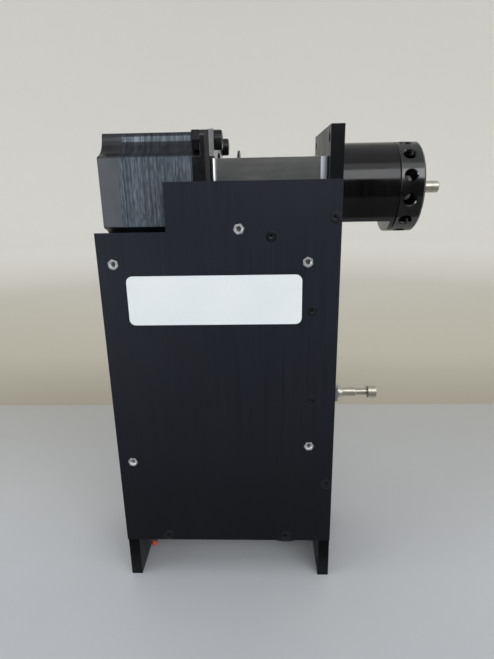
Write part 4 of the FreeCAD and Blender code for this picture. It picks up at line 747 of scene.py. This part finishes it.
def make_standoffs():
    """Clinched stand-offs: each hexagon was pressed in at its own angle."""
    mesh = bmesh.new()
    chooser = random.Random(7)
    for low, high in solids("cover_standoffs"):
        face = Vector(((low.x + high.x) / 2, low.y, (low.z + high.z) / 2))
        place = facing(face, -Y_AXIS, chooser.uniform(0, SIXTH_TURN))
        foot, shoulder, top = low.y - high.y, -1.6 * MM, STANDOFF_PROUD
        flats, corner = hexagonal(STANDOFF_HEX), 0.535 * STANDOFF_HEX
        loops = [(STANDOFF_THREAD, foot), (STANDOFF_BARREL, foot), (STANDOFF_BARREL, shoulder)]
        loops += [(flats, shoulder), (flats, top - 0.12 * MM), (at_most(flats, corner), top)]
        loops += [(STANDOFF_THREAD + 0.5 * MM, top), (STANDOFF_THREAD, top - 0.5 * MM)]
        start, end = top - 0.6 * MM, foot + 0.5 * MM
        loops += ridged(STANDOFF_THREAD, start, end, STANDOFF_THREAD_PITCH, -0.15 * MM)
        tube(mesh, loops, place, 96)
    add_piece("cover_standoffs_detail", mesh, "cover_standoffs")


# ---------------------------------------------------------------- turned and threaded pieces

PORT_THREAD_PITCH, PORT_THREAD_DEEP = 0.907 * MM, 0.3 * MM


def make_port_threads():
    """The threads and pale seats inside the ring's ports, where the record's mounts are."""
    mesh, seats = bmesh.new(), bmesh.new()
    for mount in frame["record"]["mounts"]:
        if not mount["name"].startswith("port_"):
            continue
        half = mount["dims"]["length_mm"] / 2 * MM
        wall = mount["dims"]["r_mm"] * MM
        place = facing(Vector(mount["pos_m"]), Vector(mount["axis"]))
        loops = [(wall + 0.02 * MM, half), (wall + 0.02 * MM, -half)]
        start, end = -half + 0.1 * MM, half - 0.1 * MM
        loops += ridged(wall - 0.02 * MM, start, end, PORT_THREAD_PITCH, PORT_THREAD_DEEP)
        tube(mesh, loops, place, 40)
        outward = Vector(mount["pos_m"]) - valve_axis
        outward.x = 0
        outward.normalize()
        floor = facing(Vector(mount["pos_m"]) - outward * half, outward)
        loops = [(0.4 * MM, 0.02 * MM), (2.2 * MM, 0.02 * MM)]
        loops += [(2.1 * MM, 0.35 * MM), (0.5 * MM, 0.6 * MM)]
        tube(seats, loops, floor, 40)
    add_piece("port_threads", mesh, body="case", slot="valve_black")
    add_piece("port_seats", seats, body="case", slot="valve_rotor_plastic")


THREAD_LEAD = 5 * MM
THREAD_STARTS = 2
THREAD_DEEP = 0.75 * MM
THREAD_RISE = 0.16 * MM
JOURNAL_R = 3 * MM


def make_lead_screw():
    """The lead screw, with its two-start trapezoidal thread."""
    points = [vert.co for vert in nodes["lead_screw"].data.vertices]
    low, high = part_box("lead_screw")
    crest = (high.x - low.x) / 2
    reaches = [(math.hypot(point.x - screw_axis.x, point.y), point.z) for point in points]
    threaded = [height for reach, height in reaches if reach > 0.97 * crest]
    start, end = min(threaded), max(threaded)
    root, pitch = crest - THREAD_DEEP, THREAD_LEAD / THREAD_STARTS

    def flank(phase):
        """0 at the root and 1 on the crest, round one pitch."""
        return min(1, max(0, (abs(phase - 0.5) - 0.15) / 0.13))

    def thread(height):
        def radius(angle):
            return root + (crest - root) * flank((height / pitch - THREAD_STARTS * angle / math.tau) % 1)
        return radius

    count = int((end - start) / THREAD_RISE)
    heights = [start + (end - start) * row / count for row in range(count + 1)]
    mesh = bmesh.new()
    place = Matrix.Translation((screw_axis.x, screw_axis.y, 0))
    tip = JOURNAL_R - 0.4 * MM
    loops = rounded([(tip, low.z), (JOURNAL_R, low.z + 0.4 * MM), (JOURNAL_R, start)], 0.1 * MM)
    loops += [(root, start)] + [(thread(height), height) for height in heights[1:-1]] + [(root, end)]
    loops += [(JOURNAL_R, end), (JOURNAL_R, high.z - 0.4 * MM), (tip, high.z)]
    lathe(mesh, loops, place, 48)
    add_piece("lead_screw_thread", mesh, "lead_screw", weighted=False)


# ---------------------------------------------------------------- motor laminations

def end_loops(node, axis):
    """The loops of points round the low end of a prism, the outer one first."""
    mesh = cad_mesh(node)
    mesh.normal_update()
    low = min(vert.co[axis] for vert in mesh.verts)
    links = {}
    for edge in mesh.edges:
        on_end = all(abs(vert.co[axis] - low) < 0.001 * MM for vert in edge.verts)
        if on_end and any(abs(face.normal[axis]) < 0.5 for face in edge.link_faces):
            one, other = edge.verts
            links.setdefault(one, []).append(other)
            links.setdefault(other, []).append(one)
    loops = []
    while links:
        start = next(iter(links))
        loop, vert, last = [start.co.copy()], links[start][0], start
        while vert is not start:
            loop.append(vert.co.copy())
            vert, last = [other for other in links[vert] if other is not last][0], vert
        for point in loop:
            for vert in [vert for vert in links if (vert.co - point).length < 1e-9]:
                del links[vert]
        loops.append(loop)
    mesh.free()
    return sorted(loops, key=lambda loop: -max((point - loop[0]).length for point in loop))


def inset(loop, axis, depth):
    """A loop of points moved inwards, square to itself."""
    first, second = [index for index in range(3) if index != axis]
    area = sum(
        one[first] * other[second] - other[first] * one[second]
        for one, other in zip(loop, loop[1:] + loop[:1]))
    sign = 1 if area > 0 else -1
    moved = []
    for before, point, after in zip(loop[-1:] + loop[:-1], loop, loop[1:] + loop[:1]):
        along = (after - before).normalized()
        inward = Vector((0, 0, 0))
        inward[first], inward[second] = -along[second] * sign, along[first] * sign
        moved.append(point + inward * depth)
    return moved


SHEET_PITCH = 0.5 * MM
SHEET_GROOVE = 0.07 * MM


def make_laminations(node, axis):
    """A stack of punched sheets: a shallow groove between each two, and no two quite in line."""
    chooser = random.Random(node)
    outer, *bores = end_loops(node, axis)
    low, high = (corner[axis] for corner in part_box(node))
    count = round((high - low) / SHEET_PITCH)
    pitch = (high - low) / count
    mesh = bmesh.new()

    def ring(loop, height):
        points = []
        for point in loop:
            spot = point.copy()
            spot[axis] = height
            points.append(mesh.verts.new(spot))
        return points

    def wall(rings):
        for one, other in zip(rings, rings[1:]):
            for index in range(len(one)):
                following = (index + 1) % len(one)
                face = mesh.faces.new((one[index], one[following], other[following], other[index]))
                # Painted shade: on the valve motor, notch faces that face up or down take the dark
                # laminations.
                run = one[following].co - one[index].co
                notch_shade_face = abs(run.y) > 0.45 * abs(run.z) > 0.001 * MM
                face.material_index = 1 if notch_shade_face and axis == 0 else 0

    rings = [ring(outer, low)]
    for sheet in range(count):
        face = inset(outer, axis, chooser.uniform(0, 0.03) * MM)
        base = low + sheet * pitch
        rings.append(ring(face, base + 0.12 * pitch))
        rings.append(ring(face, base + 0.80 * pitch))
        if sheet < count - 1:
            groove = inset(outer, axis, SHEET_GROOVE)
            rings.append(ring(groove, base + 0.88 * pitch))
            rings.append(ring(groove, base + 1.04 * pitch))
    rings.append(ring(outer, high))
    wall(rings)
    ends = [[rings[0]], [rings[-1]]]
    for bore in bores:
        sides = [ring(bore, low), ring(bore, high)]
        wall(sides)
        ends[0].append(sides[0])
        ends[1].append(sides[1])
    for end in ends:
        edges = []
        for loop in end:
            edges += [mesh.edges.get((one, other)) for one, other in zip(loop, loop[1:] + loop[:1])]
        bmesh.ops.triangle_fill(mesh, edges=edges, use_beauty=True)
    item = add_piece(node + "_laminated", mesh, node, weighted=False)
    # The second finish is the painted shade for the notch faces.
    item.data.materials.append(edge_finishes["lamination"])


# ---------------------------------------------------------------- circuit board parts

def make_capacitors():
    """Sleeved capacitors with a bead near the board and a bare, sunken top."""
    sleeves, tops = bmesh.new(), bmesh.new()
    for low, high in solids("board_capacitors"):
        radius, tall = (high.x - low.x) / 2, high.y - low.y
        place = facing(Vector(((low.x + high.x) / 2, low.y, (low.z + high.z) / 2)), Y_AXIS)
        side = [(0.9 * radius, 0), (radius, 0.4 * MM), (radius, 1.2 * MM), (0.93 * radius, 1.7 * MM)]
        side += [(radius, 2.2 * MM), (radius, tall)]
        side += [(0.8 * radius, tall), (0.78 * radius, tall - 0.3 * MM)]
        lathe(sleeves, rounded(side, 0.35 * MM), place, 48)
        lathe(tops, [(0.79 * radius, tall - 0.28 * MM), (0.76 * radius, tall - 0.12 * MM)], place, 48)
    add_piece("capacitor_sleeves", sleeves, "board_capacitors")
    add_piece("capacitor_tops", tops, body="case", slot="bright_steel")


def add_box(mesh, low, high):
    """Add a plain box between two corners."""
    size = Vector(high) - Vector(low)
    place = Matrix.Translation((Vector(low) + Vector(high)) / 2) @ Matrix.Diagonal((*size, 1))
    bmesh.ops.create_cube(mesh, size=1, matrix=place)


def make_chip_legs():
    """Two rows of bent legs on each chip; tall chips have the wider pitch."""
    mesh = bmesh.new()
    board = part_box("controller_board")[1].y
    for low, high in solids("board_chips"):
        tall = high.y - low.y
        pitch, out, half = (2.54, 0.9, 0.25) if tall > 3 * MM else (1.27, 0.7, 0.2)
        count = int((high.x - low.x) / MM / pitch)
        first = (low.x + high.x) / 2 - (count - 1) / 2 * pitch * MM
        knee = low.y + 0.55 * tall
        for leg in range(count):
            x = first + leg * pitch * MM
            for edge, away in ((low.z, -1), (high.z, 1)):
                near, far = sorted((edge, edge + away * out * MM))
                add_box(mesh, (x - half * MM, knee - 0.25 * MM, near), (x + half * MM, knee, far))
                shin = sorted((edge + away * (out - 0.25) * MM, edge + away * out * MM))
                add_box(mesh, (x - half * MM, board, shin[0]), (x + half * MM, knee, shin[1]))
    add_piece("chip_legs", mesh, body="case", slot="connector_shell")


def make_header_pins():
    """Square pins that stand out of the headers."""
    mesh = bmesh.new()
    pitch, half, rise = 2.54 * MM, 0.32 * MM, 2.6 * MM
    for low, high in solids("board_headers"):
        counts = [max(1, int((high[axis] - low[axis]) / pitch)) for axis in (0, 2)]
        centre = (low + high) / 2
        for column in range(counts[0]):
            for row in range(counts[1]):
                x = centre.x + (column - (counts[0] - 1) / 2) * pitch
                z = centre.z + (row - (counts[1] - 1) / 2) * pitch
                add_box(mesh, (x - half, high.y - MM, z - half), (x + half, high.y + rise, z + half))
    add_piece("header_pins", mesh, body="case", slot="connector_shell")


def make_connector_pins():
    """Nine pins in two staggered rows inside the connector shell."""
    mesh = bmesh.new()
    low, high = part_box("data_connector")
    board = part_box("controller_board")[1].y
    centre = Vector((0, board + 6.25 * MM, (low.z + high.z) / 2))
    pitch, row_half = 2.77 * MM, 1.42 * MM
    floor = low.x + 4.8 * MM
    for count, lift in ((5, -row_half), (4, row_half)):
        for pin in range(count):
            spot = Vector((floor, centre.y + lift, centre.z + (pin - (count - 1) / 2) * pitch))
            loops = [(0.5 * MM, 0), (0.5 * MM, 3.9 * MM), (0.2 * MM, 4.2 * MM)]
            lathe(mesh, loops, facing(spot, -X_AXIS), 16)
    add_piece("connector_pins", mesh, body="case", slot="bearing_bronze")


def make_carried():
    """Give the CAD nodes that stay as they are a finish of their own."""
    for node, item in nodes.items():
        if not item.hide_render:
            item.material_slots[0].material = finishes[slot_of[node]]


# ---------------------------------------------------------------- camera, light and table

CAMERA_PLACE = (-0.00598, -0.266685, 0.2285)
LOOK_DOWN, LOOK_ASIDE, ROLL = 0.2981, 0.0353, -0.0191
LENS_MM = 25.886


def link(item):
    bpy.context.scene.collection.objects.link(item)
    return item


def make_camera():
    """A hand-held camera in front of the cover, looking slightly down."""
    camera = link(bpy.data.objects.new("camera", bpy.data.cameras.new("camera")))
    camera.data.lens = LENS_MM
    camera.data.clip_start = 0.01
    turn = Matrix.Rotation(LOOK_ASIDE, 4, "Z") @ Matrix.Rotation(math.pi / 2 - LOOK_DOWN, 4, "X")
    camera.matrix_world = Matrix.Translation(CAMERA_PLACE) @ turn @ Matrix.Rotation(ROLL, 4, "Z")
    bpy.context.scene.camera = camera


WARM_LIGHT, WINDOW_LIGHT, SIDE_LIGHT = (1.0, 0.985, 0.96), (0.97, 0.98, 1.0), (0.90, 0.95, 1.0)
ROOM_COLOUR, ROOM_STRENGTH = (0.93, 0.95, 1.0), 0.44
SIDE_SPREAD = 105


def area_light(name, place, target, size, energy, colour, spread=180):
    """A rectangular light that faces its target. Its spread is in degrees."""
    light = bpy.data.lights.new(name, "AREA")
    light.spread = math.radians(spread)
    light.shape = "RECTANGLE"
    light.size, light.size_y = size
    light.energy = energy
    light.color = colour
    turn = (Vector(target) - Vector(place)).to_track_quat("-Z", "Y").to_matrix().to_4x4()
    item = link(bpy.data.objects.new(name, light))
    item.matrix_world = Matrix.Translation(place) @ turn
    return item


def make_lights():
    """A soft ceiling, a high window behind the camera and one low window at each side."""
    ceiling = area_light("ceiling", (-0.1, 0.1, 2.3), (0, 0.1, 0), (3.0, 2.6), 22, WARM_LIGHT)
    ceiling.visible_glossy = False
    area_light("front_window", (0.35, -1.7, 1.35), (0, 0, 0.22), (2.2, 0.9), 19, WINDOW_LIGHT)
    for name, place, size, energy in (
            ("left_window", (-1.5, -0.55, 0.42), (1.1, 0.9), 4.4),
            ("right_window", (1.25, -1.05, 0.48), (1.3, 0.9), 4.5)):
        area_light(name, place, (0, 0, 0.2), size, energy, SIDE_LIGHT, SIDE_SPREAD)
    bpy.context.scene.view_settings.view_transform = "Standard"
    world = bpy.data.worlds.new("room")
    bpy.context.scene.world = world
    world.use_nodes = True
    background = world.node_tree.nodes["Background"]
    background.inputs["Color"].default_value = (*ROOM_COLOUR, 1)
    background.inputs["Strength"].default_value = ROOM_STRENGTH


def stage_object(name, mesh, material):
    """Make an object that belongs to the stage, of a bmesh."""
    data = bpy.data.meshes.new(name)
    mesh.to_mesh(data)
    mesh.free()
    data.materials.append(material)
    item = link(bpy.data.objects.new(name, data))
    return item


def reflected_card(name, corners, tone=0.02, glow=0.0):
    """A studio card that only reflections see: a dark one keeps black faces black."""
    mesh = bmesh.new()
    mesh.faces.new([mesh.verts.new(corner) for corner in corners])
    card = Shader(name, (tone, tone, tone), 0.0, 0.9, Specular_IOR_Level=0.0)
    card.set("Emission Color", (*WINDOW_LIGHT, 1))
    card.set("Emission Strength", glow)
    item = stage_object(name, mesh, card.material)
    for rays in ("camera", "diffuse", "shadow", "transmission", "volume_scatter"):
        setattr(item, "visible_" + rays, False)


CARD_LEFT, CARD_RIGHT, CARD_TOP = -0.21, 0.90, 0.455
CARD_BACK, CARD_FRONT, CARD_LIFT = -0.55, -0.045, 0.5 * MM
GLOW_LEFT, GLOW_RIGHT = -0.8, 1.5
GLOW_LOW, GLOW_HIGH = (-1.45, 1.73), (-0.95, 2.1)


def card_corners(left, right, low, high):
    """A card's corners, from its left and right ends and the (y, z) of its two long edges."""
    return [(left, *low), (right, *low), (right, *high), (left, *high)]


def make_cards():
    """A dark card behind the camera, a grey one on the table, and a dim glow above the window."""
    standing = card_corners(CARD_LEFT, CARD_RIGHT, (CARD_BACK, 0), (CARD_BACK, CARD_TOP))
    lying = card_corners(CARD_LEFT, CARD_RIGHT, (CARD_BACK, CARD_LIFT), (CARD_FRONT, CARD_LIFT))
    glowing = card_corners(GLOW_LEFT, GLOW_RIGHT, GLOW_LOW, GLOW_HIGH)
    reflected_card("standing_flag", standing)
    reflected_card("lying_flag", lying, tone=0.12)
    reflected_card("window_glow", glowing, glow=1.1)


TABLE_END, FOOT_END, WALL_START = 0.20, 0.36, 2.0
# The far table colour and the two foot colours are painted shade.
TABLE_DARK, TABLE_LIGHT, TABLE_FAR_SHADE = (0.465, 0.477, 0.495), (0.49, 0.502, 0.515), (0.40, 0.40, 0.375)
FOOT_DEEP_SHADE, FOOT_PALE_SHADE = (0.375, 0.345, 0.275), (0.51, 0.485, 0.40)
WALL_COLOUR = (0.925, 0.91, 0.865)
SWEEP_START, SWEEP_RADIUS, SWEEP_TOP, SWEEP_STEPS = 1.8, 1.0, 4.0, 16
TABLE_SEGMENTS = 96


def table_finish():
    """A grey table top with painted shade darkening it towards its end behind the object, then darker,
    warmer painted shade at the wall's foot that pales into the wall colour.
    """
    shader = Shader("table_top", (0.46, 0.47, 0.48), 0.0, 0.9, Specular_IOR_Level=0.0)
    away = shader.split()["Y"]
    behind = shader.add("ShaderNodeMath", operation="GREATER_THAN")
    shader.join(away, behind.inputs[0])
    behind.inputs[1].default_value = TABLE_END
    mottle = shader.noise(shader.place, scale=9, detail=3)
    near = shader.blend(shader.spread(mottle, 0, 1), TABLE_DARK, TABLE_LIGHT)
    # Painted shade: the table darkens towards its end behind the object.
    top = shader.blend(shader.spread(away, 0, 1, -0.03, TABLE_END), near, TABLE_FAR_SHADE)
    # Painted shade at the wall's foot, darker and warmer, paling into the wall colour.
    foot = shader.blend(shader.spread(away, 0, 1, TABLE_END, FOOT_END), FOOT_DEEP_SHADE, FOOT_PALE_SHADE)
    wall = shader.blend(shader.spread(away, 0, 1, FOOT_END, WALL_START), foot, WALL_COLOUR)
    middle_part = shader.blend(behind.outputs[0], top, wall)
    reach = shader.add("ShaderNodeVectorMath", operation="LENGTH")
    shader.join(shader.place, reach.inputs[0])
    outer_part = shader.blend(shader.spread(away, 0, 1, -0.9, 0.9), near, WALL_COLOUR)
    outwards = shader.spread(reach.outputs["Value"], 0, 1, 0.9, 1.7)
    shader.drive("Base Color", shader.blend(outwards, middle_part, outer_part))
    return shader.material


def make_table():
    """A pale table top that runs into a pale sweep all round it."""
    mesh = bmesh.new()
    loops = [(0.01, 0), (0.6, 0), (SWEEP_START, 0)]
    for step in range(1, SWEEP_STEPS + 1):
        angle = math.pi / 2 * step / SWEEP_STEPS
        reach = SWEEP_START + SWEEP_RADIUS * math.sin(angle)
        loops.append((reach, SWEEP_RADIUS * (1 - math.cos(angle))))
    loops.append((SWEEP_START + SWEEP_RADIUS, SWEEP_TOP))
    rings = turned_rings(mesh, loops, Matrix(), TABLE_SEGMENTS)
    mesh.faces.new(rings[0])
    join_rings(mesh, [ring[::-1] for ring in rings])
    for face in mesh.faces:
        face.smooth = True
    table = stage_object("table_top", mesh, table_finish())
    table.location.z = -0.05 * MM


# ---------------------------------------------------------------- build

ease_all()
make_cover_screws()
make_frame_screws()
make_cap_screws()
make_nuts()
make_standoffs()
make_port_threads()
make_lead_screw()
make_laminations("valve_motor_stack", 0)
make_laminations("drive_motor_stack", 2)
make_capacitors()
make_chip_legs()
make_header_pins()
make_connector_pins()
make_carried()
make_camera()
make_lights()
make_cards()
make_table()

bpy.context.view_layer.update()
